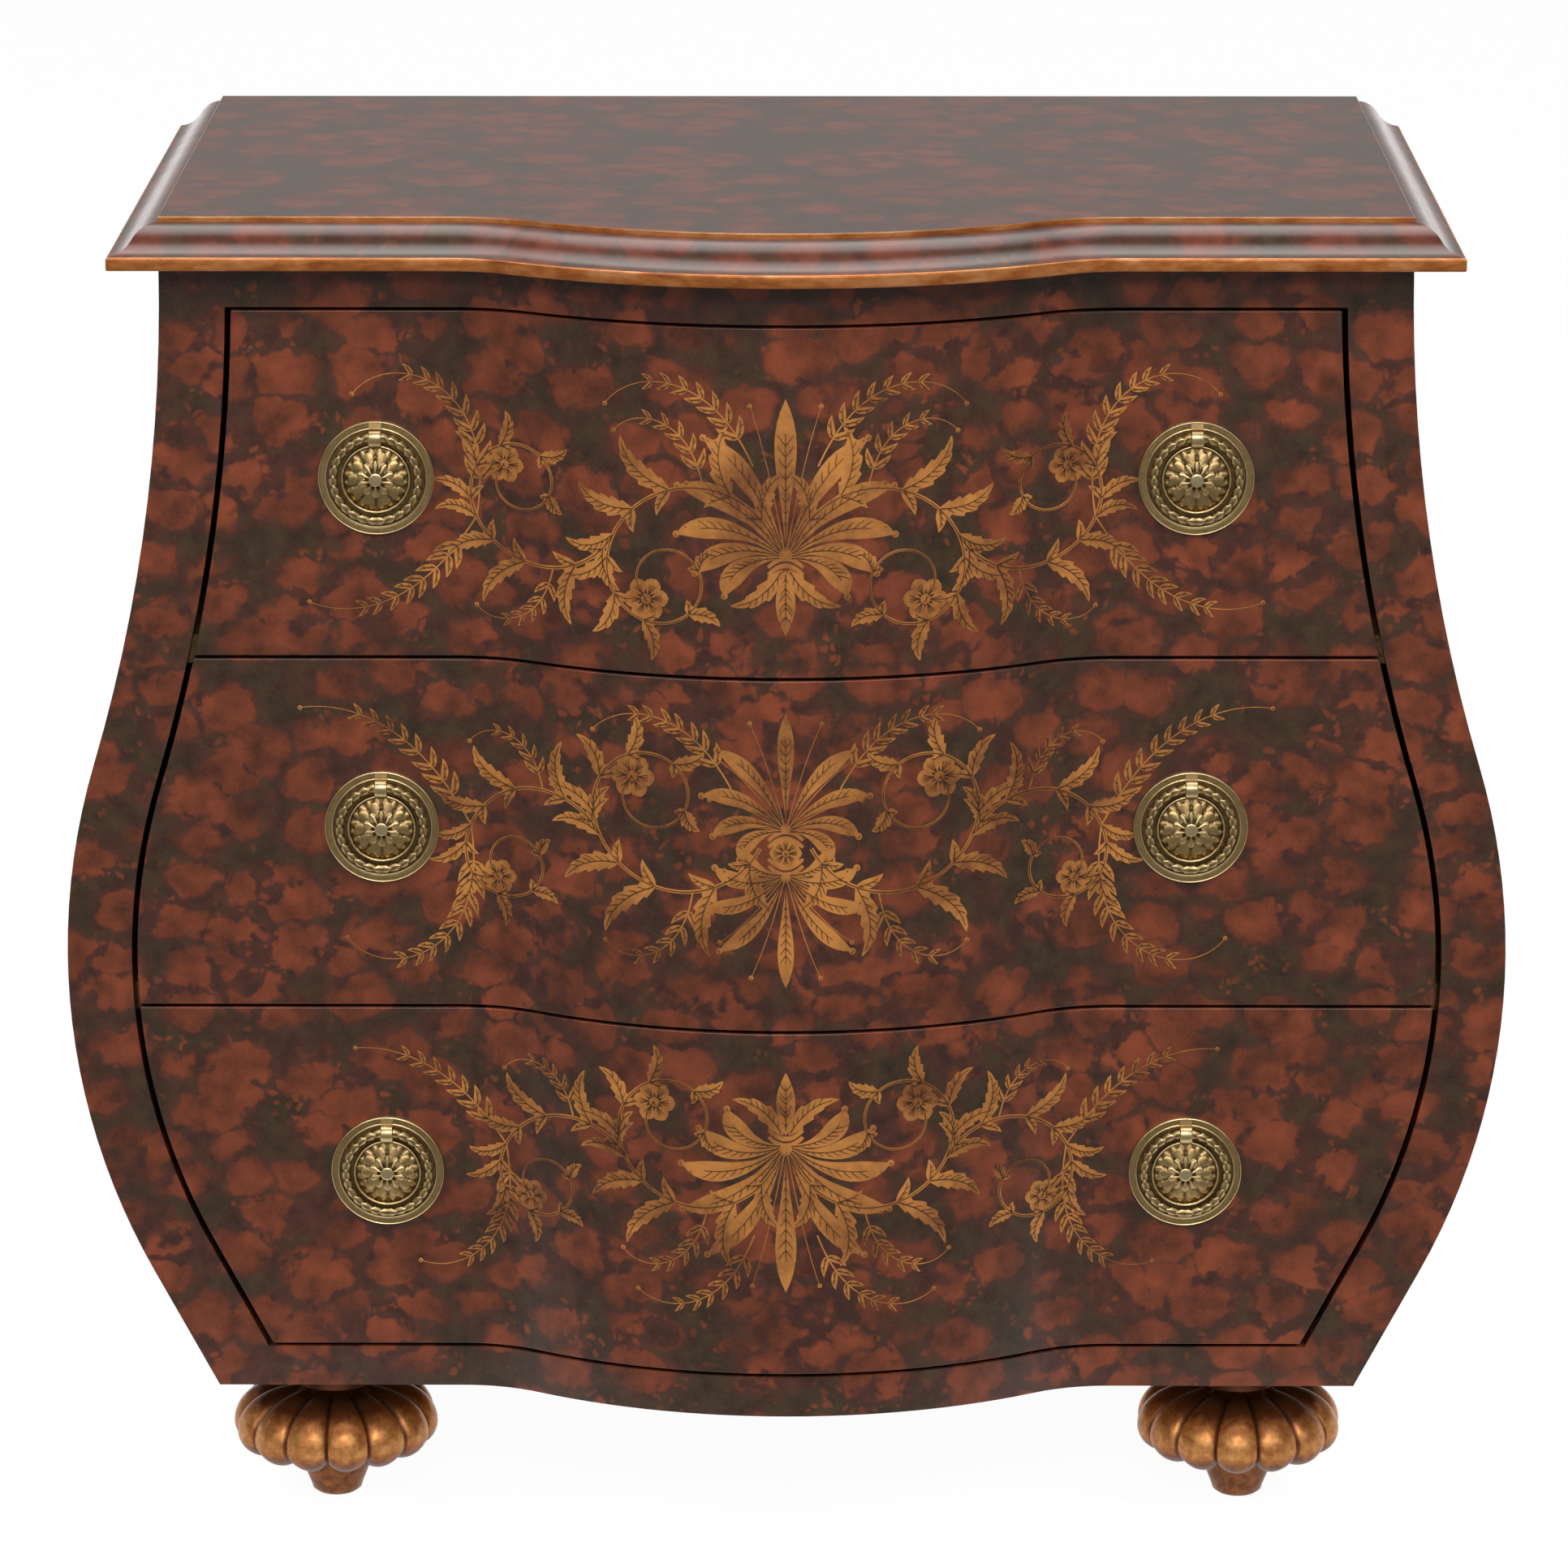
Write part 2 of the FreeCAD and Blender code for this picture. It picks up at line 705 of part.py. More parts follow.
def drawer(word, front_z, front_height):
    """One drawer: a bowed front and a straight box of four boards behind it."""
    box_bottom = front_z + half_divider + size.running_gap
    box_back = frame_back + box_depth
    inner = box_half_width - size.box_board
    floor_z = box_bottom + size.box_bottom_lift
    floor_top = floor_z + size.box_bottom_thickness
    pull_z = front_z + front_height / 2 + size.pull_rise

    half_post = size.post_width / 2
    posts = [box(f"{word}_{hand}_post", (side * size.pull_half_spacing - half_post, front, pull_z - half_post),
                 (side * size.pull_half_spacing + half_post, front + post_length, pull_z + half_post))
             for hand, side in SIDES]
    strip = bowed_strip(f"{word}_front_strip", ZERO, size.frame_thickness, front_z, front_height)
    blank = combine("Part::MultiCommon", f"{word}_front_blank", [strip, front_section])
    keep(cut(f"{word}_drawer_front", blank, combine("Part::Compound", f"{word}_post_holes", posts)))

    for hand, side in SIDES:
        board = new_body(f"{word}_drawer_{hand}_side", y=frame_back, z=box_bottom)
        faces = sorted((side * inner, side * box_half_width), key=lambda face: face.value)
        pad(board, "XY", rectangle(faces[0], ZERO, faces[1], box_depth), size.box_height)
        groove = sorted((side * inner, side * (inner + size.groove_depth)), key=lambda face: face.value)
        pocket(board, "XZ", rectangle(groove[0], size.box_bottom_lift, groove[1],
                                      size.box_bottom_lift + size.box_bottom_thickness),
               box_depth, name="floor_groove")
        keep(board)

    keep_box = box(f"{word}_drawer_back", (-inner, box_back - size.box_board, floor_top),
                   (inner, box_back, box_bottom + size.box_height))
    keep_box.Label = f"{word}_drawer_back"
    keep(keep_box)
    floor_half = inner + size.groove_depth
    floor_body = new_body(f"{word}_drawer_bottom", y=front, z=floor_z)
    depth = size.frame_thickness + box_depth
    pad(floor_body, "XY", bow_curve(-size.frame_thickness, floor_half)
        + [(floor_half, depth), (-floor_half, depth)], size.box_bottom_thickness)
    keep(floor_body)
    return pull_z, posts


def plate_rings():
    """The back plate from its back to its face: rim, raised bead, flat band, rosette and button."""
    rim, band, rosette = SIZES["plate_radius"], SIZES["plate_band_height"], SIZES["rosette_radius"]
    stations = [
        (rim, 0),
        (rim, SIZES["plate_bead_height"]),
        (rim - SIZES["plate_bead_width"], band),
        (rosette, band),
        (rosette, SIZES["rosette_height"]),
        (SIZES["button_radius"], SIZES["button_height"]),
    ]
    turns = [2 * math.pi * leaf / SIZES["ring_leaves"] for leaf in range(SIZES["ring_leaves"])]
    return [[Vector(radius * math.cos(turn), radius * math.sin(turn), level) for turn in turns]
            for radius, level in stations]


def ring_strap(name, x, z):
    """A brass strap folded over the ring, with an eye against the plate that the ring turns in."""
    body = new_body(name, x, front, z)
    band = size.plate_band_height
    eye = size.ring_tube_radius + size.ring_clearance
    face = ring_level + eye + size.strap_thickness
    inner_leg = size.ring_radius - eye - size.strap_thickness / 2
    skirt = size.rosette_height + size.ring_clearance
    outer_leg = size.ring_radius + eye + size.strap_thickness
    crown = size.plate_radius + size.ring_clearance
    over_bead = size.plate_bead_height + size.ring_clearance
    pad(body, "YZ", [
        (-band, inner_leg),
        (-band, size.ring_radius - eye),
        (-ring_level, size.ring_radius - eye),
        (-(ring_level + eye), size.ring_radius, eye, -1),
        (-ring_level, size.ring_radius + eye, eye, -1),
        (-band, size.ring_radius + eye),
        (-band, outer_leg),
        (-over_bead, outer_leg),
        (-over_bead, crown),
        (-(over_bead + size.strap_thickness), crown),
        (-face, outer_leg),
        (-face, size.rosette_radius - size.strap_thickness),
        (-skirt, size.rosette_radius - size.strap_thickness),
        (-skirt, inner_leg),
    ], size.strap_width, name="strap", lift=-size.strap_width / 2)
    return body


def wreath_rings():
    """The hanging ring's sections: a wreath of short straight leaves, flat at its top, about +Z."""
    half_leaf = math.pi / SIZES["ring_leaves"]
    reach = SIZES["ring_radius"] / math.cos(half_leaf)
    rings = []
    for leaf in range(SIZES["ring_leaves"]):
        turn = (2 * leaf + 1) * half_leaf
        points = []
        for flat in range(SIZES["ring_flats"]):
            roll = 2 * math.pi * flat / SIZES["ring_flats"]
            radius = reach + SIZES["ring_tube_radius"] * math.cos(roll)
            points.append(Vector(radius * math.cos(turn), radius * math.sin(turn),
                                 SIZES["ring_tube_radius"] * math.sin(roll)))
        rings.append(points)
    return rings


def facing_front(label, solid, x, y, z):
    """One of the repeats of a solid that is modelled about +Z, turned to the front."""
    repeat = combine("Part::Compound", label, [solid])
    place(repeat, x, y, z, PLANE_TURN["XZ"])
    return repeat


def hex_nut(name, x, z, post):
    """The nut on the inside of the drawer front, on its post."""
    nut = rod(f"{name}_blank", size.nut_radius, size.nut_height, x, frame_back, z, flats=6,
              rotation=FreeCAD.Rotation(Vector(1, 0, 0), -90))
    return cut(name, nut, post)


back_plate = faceted("back_plate", plate_rings())
wreath = faceted("ring_wreath", wreath_rings(), closed=True)
for word, (front_z, front_height) in LEVELS.items():
    pull_z, posts = drawer(word, front_z, front_height)
    plates = []
    straps = []
    nuts = []
    for (hand, side), post in zip(SIDES, posts):
        x = side * size.pull_half_spacing
        plates.append(facing_front(f"{word}_{hand}_plate", back_plate, x, front, pull_z))
        straps.append(ring_strap(f"{word}_{hand}_strap", x, pull_z))
        nuts.append(hex_nut(f"{word}_{hand}_nut", x, pull_z, post))
        keep(facing_front(f"{word}_{hand}_ring", wreath, x, front - ring_level, pull_z))
    keep(combine("Part::Compound", f"{word}_ring_plates", plates))
    keep(combine("Part::Compound", f"{word}_ring_straps", straps))
    keep(combine("Part::Compound", f"{word}_pull_posts", posts + nuts))

# ---------------------------------------------------------------- check and write
doc.recompute()
faults = [f"{item.Label}: {state}" for item in doc.Objects for state in item.State
          if state in ("Invalid", "Error")]
for label, item in nodes.items():
    if item.Shape.isNull() or not item.Shape.isValid() or not item.Shape.Solids:
        faults.append(f"{label}: no valid solid")
if faults:
    raise SystemExit("\n".join(faults))
os.makedirs("parts", exist_ok=True)
for label, item in nodes.items():
    item.Shape.exportStep(f"parts/{label}.step")
    solids = item.Shape.Solids
    print(f"{label}: {len(solids)} solid(s), {sum(solid.Volume for solid in solids) / 1000:.1f} cm3")
print(len(nodes), "nodes")
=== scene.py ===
import json
import math

import bmesh
import bpy
from mathutils import Matrix, Vector

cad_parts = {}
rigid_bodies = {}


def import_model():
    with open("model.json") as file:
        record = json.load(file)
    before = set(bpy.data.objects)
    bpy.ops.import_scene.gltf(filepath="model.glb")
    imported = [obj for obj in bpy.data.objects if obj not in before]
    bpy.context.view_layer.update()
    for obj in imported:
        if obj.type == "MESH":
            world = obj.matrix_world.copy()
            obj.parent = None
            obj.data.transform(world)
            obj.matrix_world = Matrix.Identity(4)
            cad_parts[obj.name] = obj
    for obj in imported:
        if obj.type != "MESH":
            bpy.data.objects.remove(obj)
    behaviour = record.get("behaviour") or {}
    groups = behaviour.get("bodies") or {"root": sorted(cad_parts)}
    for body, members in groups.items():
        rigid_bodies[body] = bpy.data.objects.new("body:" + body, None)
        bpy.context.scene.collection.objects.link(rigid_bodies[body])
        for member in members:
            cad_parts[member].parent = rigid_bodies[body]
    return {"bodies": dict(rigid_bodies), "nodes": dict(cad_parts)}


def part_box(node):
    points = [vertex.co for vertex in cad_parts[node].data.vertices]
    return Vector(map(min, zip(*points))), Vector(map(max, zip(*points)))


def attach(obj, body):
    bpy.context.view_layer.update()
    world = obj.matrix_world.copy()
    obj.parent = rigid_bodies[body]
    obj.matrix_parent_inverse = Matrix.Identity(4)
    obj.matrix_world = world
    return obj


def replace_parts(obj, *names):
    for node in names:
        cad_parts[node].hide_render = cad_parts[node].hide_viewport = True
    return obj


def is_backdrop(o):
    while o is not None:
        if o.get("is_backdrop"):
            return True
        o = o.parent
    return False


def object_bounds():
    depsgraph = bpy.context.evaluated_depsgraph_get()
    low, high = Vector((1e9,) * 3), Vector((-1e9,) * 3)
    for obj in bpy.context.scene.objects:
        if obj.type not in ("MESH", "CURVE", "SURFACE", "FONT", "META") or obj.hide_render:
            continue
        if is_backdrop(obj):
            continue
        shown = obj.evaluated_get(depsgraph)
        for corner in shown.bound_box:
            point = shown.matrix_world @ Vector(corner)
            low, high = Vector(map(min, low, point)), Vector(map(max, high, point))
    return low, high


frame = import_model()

# the cube, lamp and camera of Blender's own first scene go
for leftover in set(bpy.data.objects) - set(frame["nodes"].values()) - set(frame["bodies"].values()):
    bpy.data.objects.remove(leftover)
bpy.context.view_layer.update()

# ---------------------------------------------------------------- the lacquered case
# The case is board and bent ply, sealed, filled and sprayed, then lacquered as tortoiseshell: round
# dabs of red-brown are sponged over an olive-black ground while it is wet, and a clear satin coat
# goes over both. Its side boards, stiles and rails are glued up and painted over as one surface.
# sizes are in mm, and MM turns them to metres; the case's own four, from the frame, are in metres
MM = 0.001
CASE_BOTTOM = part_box("left_side")[0].z
CASE_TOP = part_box("left_side")[1].z
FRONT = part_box("left_stile")[0].y
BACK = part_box("left_side")[1].y


def srgb(code):
    """A colour written as sRGB hex, as the linear values that a shader takes."""
    parts = [int(code[place:place + 2], 16) / 255 for place in (1, 3, 5)]
    return tuple(part / 12.92 if part <= 0.04045 else ((part + 0.055) / 1.055) ** 2.4
                 for part in parts) + (1.0,)


def add(tree, kind, inputs=None, stops=None, **settings):
    """Add one node with its settings and a ramp's stops; an input is a value, or a socket or node to link."""
    node = tree.nodes.new("ShaderNode" + kind)
    for name, value in settings.items():
        setattr(node, name, value)
    for name, value in (inputs or {}).items():
        if isinstance(value, bpy.types.Node):
            value = value.outputs[0]
        if isinstance(value, bpy.types.NodeSocket):
            tree.links.new(value, node.inputs[name])
        else:
            node.inputs[name].default_value = value
    for index, (place, colour) in enumerate(stops or ()):
        stop = node.color_ramp.elements[index] if index < 2 else node.color_ramp.elements.new(place)
        stop.position = place
        stop.color = colour
    return node


def new_material(name):
    """An empty material and its node tree."""
    material = bpy.data.materials.new(name)
    material.use_nodes = True
    material.node_tree.nodes.clear()
    return material, material.node_tree


def tortoiseshell_lacquer(name, dab_strength):
    """Satin lacquer: lumpy dabs over a thin maroon wash, small drops between them, a faint orange peel."""
    material, tree = new_material(name)
    place = add(tree, "TexCoord").outputs["Object"]
    wander = add(tree, "TexNoise", {"Vector": place, "Scale": 1 / (15 * MM)}).outputs["Color"]
    bent = add(tree, "Mix", {0: 0.018, 4: place, 5: wander}, data_type="VECTOR").outputs[1]
    # dabs of 25 to 50 mm, a little wider than high; the wash reaches a little past them
    broad = add(tree, "Mapping", {"Vector": bent, "Scale": (0.85, 0.85, 1.15)})
    cells = {"Vector": broad, "Scale": 1 / (33 * MM), "Randomness": 0.9}
    dabs = add(tree, "TexVoronoi", cells)
    drift = add(tree, "TexNoise", {"Vector": place, "Scale": 1 / (55 * MM)})
    lumps = add(tree, "TexNoise", {"Vector": place, "Scale": 1 / (12 * MM)})
    spread = add(tree, "Math", {0: drift, 1: 0.55, 2: dabs}, operation="MULTIPLY_ADD")
    reach = add(tree, "Math", {0: lumps, 1: 0.5, 2: spread}, operation="MULTIPLY_ADD")
    wash = add(tree, "MapRange", {"Value": reach, "From Min": 1.02, "From Max": 1.32,
                                  "To Min": 0.85, "To Max": 0.0})
    inside = add(tree, "MapRange", {"Value": reach, "From Min": 0.99, "From Max": 1.15,
                                    "To Min": 1.0, "To Max": 0.0}, interpolation_type="SMOOTHSTEP")
    # a dark vein parts some neighbours, and others run together
    edges = add(tree, "TexVoronoi", cells, feature="DISTANCE_TO_EDGE")
    joins = add(tree, "TexNoise", {"Vector": bent, "Scale": 1 / (34 * MM), "Detail": 1.0})
    ragged = add(tree, "Math", {0: lumps, 1: 0.4, 2: edges}, operation="MULTIPLY_ADD")
    joined = add(tree, "Math", {0: joins, 1: 0.8, 2: ragged}, operation="MULTIPLY_ADD")
    vein = add(tree, "MapRange", {"Value": joined, "From Min": 0.61, "From Max": 0.72},
               interpolation_type="SMOOTHSTEP")
    dab = add(tree, "Math", {0: inside, 1: vein}, operation="MULTIPLY")
    # drops of 3 to 7 mm that ran off the sponge, in some places only
    drops = add(tree, "TexVoronoi", {"Vector": bent, "Scale": 1 / (8 * MM)})
    round_drop = add(tree, "MapRange", {"Value": drops, "From Min": 0.22, "From Max": 0.38,
                                        "To Min": 0.75, "To Max": 0.0})
    where = add(tree, "TexNoise", {"Vector": place, "Scale": 1 / (26 * MM), "Detail": 1.0})
    few = add(tree, "MapRange", {"Value": where, "From Min": 0.5, "From Max": 0.62})
    drop = add(tree, "Math", {0: round_drop, 1: few}, operation="MULTIPLY")
    dab_or_drop = add(tree, "Math", {0: dab, 1: drop}, operation="MAXIMUM")
    red = add(tree, "Math", {0: dab_or_drop, 1: dab_strength}, operation="MULTIPLY")
    # every coat is uneven, and each dab is anything from a dull brown to a clear orange-red
    grain = add(tree, "TexNoise", {"Vector": place, "Scale": 1 / (2.2 * MM), "Detail": 3.0,
                                   "Roughness": 0.7})
    cloud = add(tree, "TexNoise", {"Vector": place, "Scale": 1 / (12 * MM), "Detail": 3.0})
    tone = add(tree, "Math", {0: grain, 1: 0.6, 2: cloud}, operation="MULTIPLY_ADD")
    ground = add(tree, "ValToRGB", {"Fac": tone}, ((0.55, srgb("#2a2016")), (1.05, srgb("#473422"))))
    maroon = add(tree, "ValToRGB", {"Fac": tone}, ((0.55, srgb("#3c211b")), (1.05, srgb("#5b3026"))))
    patchy = add(tree, "Math", {0: where, 1: 1.4, 2: tone}, operation="MULTIPLY_ADD")
    strength = add(tree, "MapRange", {"Value": patchy, "From Min": 1.1, "From Max": 1.95})
    shell = add(tree, "ValToRGB", {"Fac": strength}, ((0.0, srgb("#4a2618")), (1.0, srgb("#8c452a"))))
    thin = add(tree, "Mix", {0: wash, 6: ground, 7: maroon}, data_type="RGBA").outputs[2]
    colour = add(tree, "Mix", {0: red, 6: thin, 7: shell}, data_type="RGBA").outputs[2]
    bump = add(tree, "Bump", {"Height": grain, "Strength": 0.04, "Distance": 0.3 * MM})
    gloss = add(tree, "MapRange", {"Value": cloud, "To Min": 0.24, "To Max": 0.36})
    shader = add(tree, "BsdfPrincipled", {"Base Color": colour, "Roughness": gloss, "IOR": 1.5,
                                          "Normal": bump})
    add(tree, "OutputMaterial", {"Surface": shader})
    return material


def dress(node, material):
    """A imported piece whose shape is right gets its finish."""
    piece = frame["nodes"][node]
    piece.data.materials.clear()
    piece.data.materials.append(material)


lacquer = tortoiseshell_lacquer("tortoiseshell_lacquer", 1.0)
for node in ("left_side", "right_side", "left_stile", "right_stile", "top_rail", "bottom_rail"):
    dress(node, lacquer)

# ---------------------------------------------------------------- drawer fronts
# Three bent fronts, cut to the side curve and bowed in plan like the rails above and below them.
# Their faces and edges are lacquered with the case, the backs are left in bare wood, and the
# sharp edges are eased by hand, so that each catches a thin line of light.
BOW_DEPTH = 57
BOW_RADIUS = 313
BLEND_RADIUS = 95
BLEND_STEPS, HALF_BOW_STEPS, FRONT_STEPS = 10, 18, 24
BOARD = 22
EASED_EDGE = 0.9
STILE = 40.7
SIDE_GAP = 3.6
TOP_HALF_WIDTH = 388
BELLY_HALF_WIDTH = 457
BELLY_LEVEL = 283
BELLY_RADIUS = 446
SKIRT_ANGLE = math.radians(27.4)
CASE_HEIGHT = (CASE_TOP - CASE_BOTTOM) / MM
BOW_CENTRES = BOW_RADIUS + BLEND_RADIUS
FLAT_END = math.sqrt(2 * BOW_CENTRES * BOW_DEPTH - BOW_DEPTH ** 2)
BOW_ANGLE = math.asin(FLAT_END / BOW_CENTRES)


def side_curve(level, inset):
    """Half the case's width in mm at a level above its bottom, moved in from the outer face."""
    belly_x = BELLY_HALF_WIDTH - BELLY_RADIUS
    across = TOP_HALF_WIDTH - belly_x
    rise = CASE_HEIGHT - BELLY_LEVEL
    neck = (across ** 2 + rise ** 2 - BELLY_RADIUS ** 2) / (2 * (BELLY_HALF_WIDTH - TOP_HALF_WIDTH))
    belly = BELLY_RADIUS - inset
    skirt_level = BELLY_LEVEL - belly * math.sin(SKIRT_ANGLE)
    if level < skirt_level:
        return belly_x + belly * math.cos(SKIRT_ANGLE) - (skirt_level - level) * math.tan(SKIRT_ANGLE)
    if level < BELLY_LEVEL + belly * rise / (BELLY_RADIUS + neck):
        return belly_x + math.sqrt(belly ** 2 - (level - BELLY_LEVEL) ** 2)
    return TOP_HALF_WIDTH + neck - math.sqrt((neck + inset) ** 2 - (CASE_HEIGHT - level) ** 2)


def bow_plan(stand_out, half_width):
    """The serpentine front in plan, left to right, in mm from the flat of the front."""
    blend = BLEND_RADIUS - stand_out
    bow = BOW_RADIUS + stand_out
    left = [(-half_width, -stand_out)]
    for step in range(BLEND_STEPS):
        turn = BOW_ANGLE * step / BLEND_STEPS
        left.append((-FLAT_END + blend * math.sin(turn), -BLEND_RADIUS + blend * math.cos(turn)))
    middle = []
    for step in range(2 * HALF_BOW_STEPS + 1):
        turn = BOW_ANGLE * (step / HALF_BOW_STEPS - 1)
        middle.append((bow * math.sin(turn), BOW_RADIUS - BOW_DEPTH - bow * math.cos(turn)))
    return left + middle + [(-x, y) for x, y in reversed(left)]


def smooth_piece(name, points, faces, materials, crease=35, wear_and_shade=None):
    """A mesh piece from points in mm, smooth but for its sharp edges; its last argument is a value per point,
    for wear and for painted shade.
    """
    mesh = bpy.data.meshes.new(name)
    mesh.from_pydata([Vector(point) * MM for point in points], [], faces)
    if wear_and_shade:
        mesh.attributes.new("wear_and_shade", "FLOAT", "POINT").data.foreach_set("value", wear_and_shade)
    build = bmesh.new()
    build.from_mesh(mesh)
    bmesh.ops.remove_doubles(build, verts=build.verts, dist=0.01 * MM)
    bmesh.ops.recalc_face_normals(build, faces=build.faces)
    build.to_mesh(mesh)
    build.free()
    mesh.polygons.foreach_set("use_smooth", [True] * len(mesh.polygons))
    mesh.set_sharp_from_angle(angle=math.radians(crease))
    for material in materials:
        mesh.materials.append(material)
    piece = bpy.data.objects.new(name, mesh)
    bpy.context.scene.collection.objects.link(piece)
    return piece


def net(rows):
    """The points of rows and the four-cornered faces between them; each row's end joins its start."""
    points = [point for row in rows for point in row]
    width = len(rows[0])
    faces = []
    for row in range(len(rows) - 1):
        for column in range(width):
            after = (column + 1) % width
            faces.append((row * width + column, row * width + after,
                          (row + 1) * width + after, (row + 1) * width + column))
    return points, faces


def grained_wood(name, light, dark, ring=9):
    """Planed wood: long streaks of early and late growth, ring mm apart, with short open pores."""
    material, tree = new_material(name)
    place = add(tree, "TexCoord").outputs["Object"]
    along = add(tree, "Mapping", {"Vector": place, "Scale": (0.06, 1.0, 1.0)})
    rings = add(tree, "TexNoise", {"Vector": along, "Scale": 1 / (ring * MM), "Detail": 4.0,
                                   "Distortion": 0.6})
    pores = add(tree, "TexNoise", {"Vector": along, "Scale": 1 / (1.2 * MM), "Detail": 1.0})
    streak = add(tree, "Math", {0: rings, 1: pores, 2: pores}, operation="MULTIPLY_ADD")
    colour = add(tree, "ValToRGB", {"Fac": streak}, ((0.5, srgb(dark)), (1.1, srgb(light))))
    bump = add(tree, "Bump", {"Height": pores, "Strength": 0.15, "Distance": 0.2 * MM})
    shader = add(tree, "BsdfPrincipled", {"Base Color": colour, "Roughness": 0.62, "Normal": bump})
    add(tree, "OutputMaterial", {"Surface": shader})
    return material


def bowed_front(word):
    """One drawer front: its bowed face, edges and back, between its lower and upper levels."""
    low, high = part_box(f"{word}_drawer_front")
    bottom, top = low.z / MM, high.z / MM
    rows = []
    for step in range(FRONT_STEPS + 1):
        level = bottom + (top - bottom) * step / FRONT_STEPS
        half = side_curve(level - CASE_BOTTOM / MM, STILE + SIDE_GAP)
        plan = bow_plan(0, half) + bow_plan(-BOARD, half)[::-1]
        rows.append([(x, FRONT / MM + y, level) for x, y in plan])
    points, faces = net(rows)
    width = len(rows[0]) // 2
    for row, flip in ((0, False), (len(rows) - 1, True)):
        start = row * 2 * width
        for column in range(width - 1):
            face = (start + column, start + 2 * width - 1 - column,
                    start + 2 * width - 2 - column, start + column + 1)
            faces.append(face if flip else face[::-1])
    front = smooth_piece(f"{word}_bowed_front", points, faces, [lacquer, drawer_wood])
    for face in front.data.polygons:
        if all(front.data.vertices[corner].co.y > FRONT - BOW_DEPTH * MM and
               corner % (2 * width) >= width for corner in face.vertices):
            face.material_index = 1
    eased = front.modifiers.new("eased_edges", "BEVEL")
    eased.width = EASED_EDGE * MM
    eased.segments = 2
    eased.limit_method = "ANGLE"
    eased.angle_limit = math.radians(50)
    eased.harden_normals = True
    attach(front, f"{word}_drawer")
    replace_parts(front, f"{word}_drawer_front")


drawer_wood = grained_wood("planed_poplar", "#c9ab7f", "#a98657")
DRAWERS = ("top", "middle", "bottom")
for word in DRAWERS:
    bowed_front(word)

# ---------------------------------------------------------------- top board and its mouldings
# The top is a flat board, lacquered like the case, set up by a small step inside a cyma moulding
# that is mitred at the front corners. The step and the square lip are water-gilt in a dull red
# gold, burnished thin on their edges until the clay below shows.
MOULDING_WIDTH = 29.6
MOULDING_OVERHANG = 25
LIP = 8.5
LIP_EASE, PANEL_EASE = 1.4, 0.8
EASE_STEPS, CYMA_STEPS = 4, 14
PANEL_STEP = 3.3
top_low, top_high = (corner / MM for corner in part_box("top_panel"))
PANEL_HALF_WIDTH = top_high.x
PANEL_STAND_OUT = MOULDING_OVERHANG - MOULDING_WIDTH
MOULDING_TOP = top_high.z - PANEL_STEP - top_low.z


def water_gilding():
    """Dull red-gold leaf over red clay: mottled where it is worn, streaked along the moulding."""
    material, tree = new_material("water_gilding")
    place = add(tree, "TexCoord").outputs["Object"]
    long_way = add(tree, "Mapping", {"Vector": place, "Scale": (0.35, 0.35, 1.0)})
    mottle = add(tree, "TexNoise", {"Vector": long_way, "Scale": 1 / (9 * MM), "Detail": 5.0,
                                    "Roughness": 0.65})
    colour = add(tree, "ValToRGB", {"Fac": mottle},
                 ((0.32, srgb("#83431a")), (0.5, srgb("#ae672f")), (0.7, srgb("#c68a58"))))
    bump = add(tree, "Bump", {"Height": mottle, "Strength": 0.12, "Distance": 0.2 * MM})
    shader = add(tree, "BsdfPrincipled", {"Base Color": colour, "Metallic": 0.45, "Roughness": 0.38,
                                          "Normal": bump})
    add(tree, "OutputMaterial", {"Surface": shader})
    return material


def arc(start, end, radius, turn, steps):
    """Points of a round stretch after its start: turn is 1 for counter-clockwise, -1 for clockwise."""
    start, end = Vector(start), Vector(end)
    chord = end - start
    rise = math.sqrt(radius ** 2 - chord.length_squared / 4)
    centre = (start + end) / 2 + Vector((-chord.y, chord.x)).normalized() * rise * turn
    sweep = 2 * math.asin(chord.length / 2 / radius) * turn
    return [tuple(centre + Matrix.Rotation(sweep * step / steps, 2) @ (start - centre))
            for step in range(1, steps + 1)]


def cyma():
    """The moulding in section as (outward, up) points: under side, lip with eased edges, cyma."""
    half_run = MOULDING_WIDTH / 2
    half_rise = (MOULDING_TOP - LIP) / 2
    curve = (half_run ** 2 + half_rise ** 2) / (2 * half_rise)
    run = [(0, 0), (MOULDING_WIDTH - LIP_EASE, 0)]
    run += arc(run[-1], (MOULDING_WIDTH, LIP_EASE), LIP_EASE, 1, EASE_STEPS)
    run.append((MOULDING_WIDTH, LIP - LIP_EASE))
    run += arc(run[-1], (MOULDING_WIDTH - LIP_EASE, LIP), LIP_EASE, 1, EASE_STEPS)
    run += arc((MOULDING_WIDTH, LIP), (half_run, LIP + half_rise), curve, -1, CYMA_STEPS)
    run += arc(run[-1], (0, MOULDING_TOP), curve, 1, CYMA_STEPS)
    return run


def moulding(name, rows):
    """One length of moulding from its rows of points: gilt on the lip, lacquered on the cyma."""
    points, faces = net(list(zip(*rows)))
    count = len(rows)
    faces.append(tuple(range(count)))
    faces.append(tuple(len(points) - 1 - corner for corner in range(count)))
    piece = smooth_piece(name, points, faces, [top_lacquer, gilding])
    lip_top = (top_low.z + LIP + 0.02) * MM
    for face in piece.data.polygons:
        if face.center.z < lip_top:
            face.material_index = 1
    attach(piece, "case")
    return piece


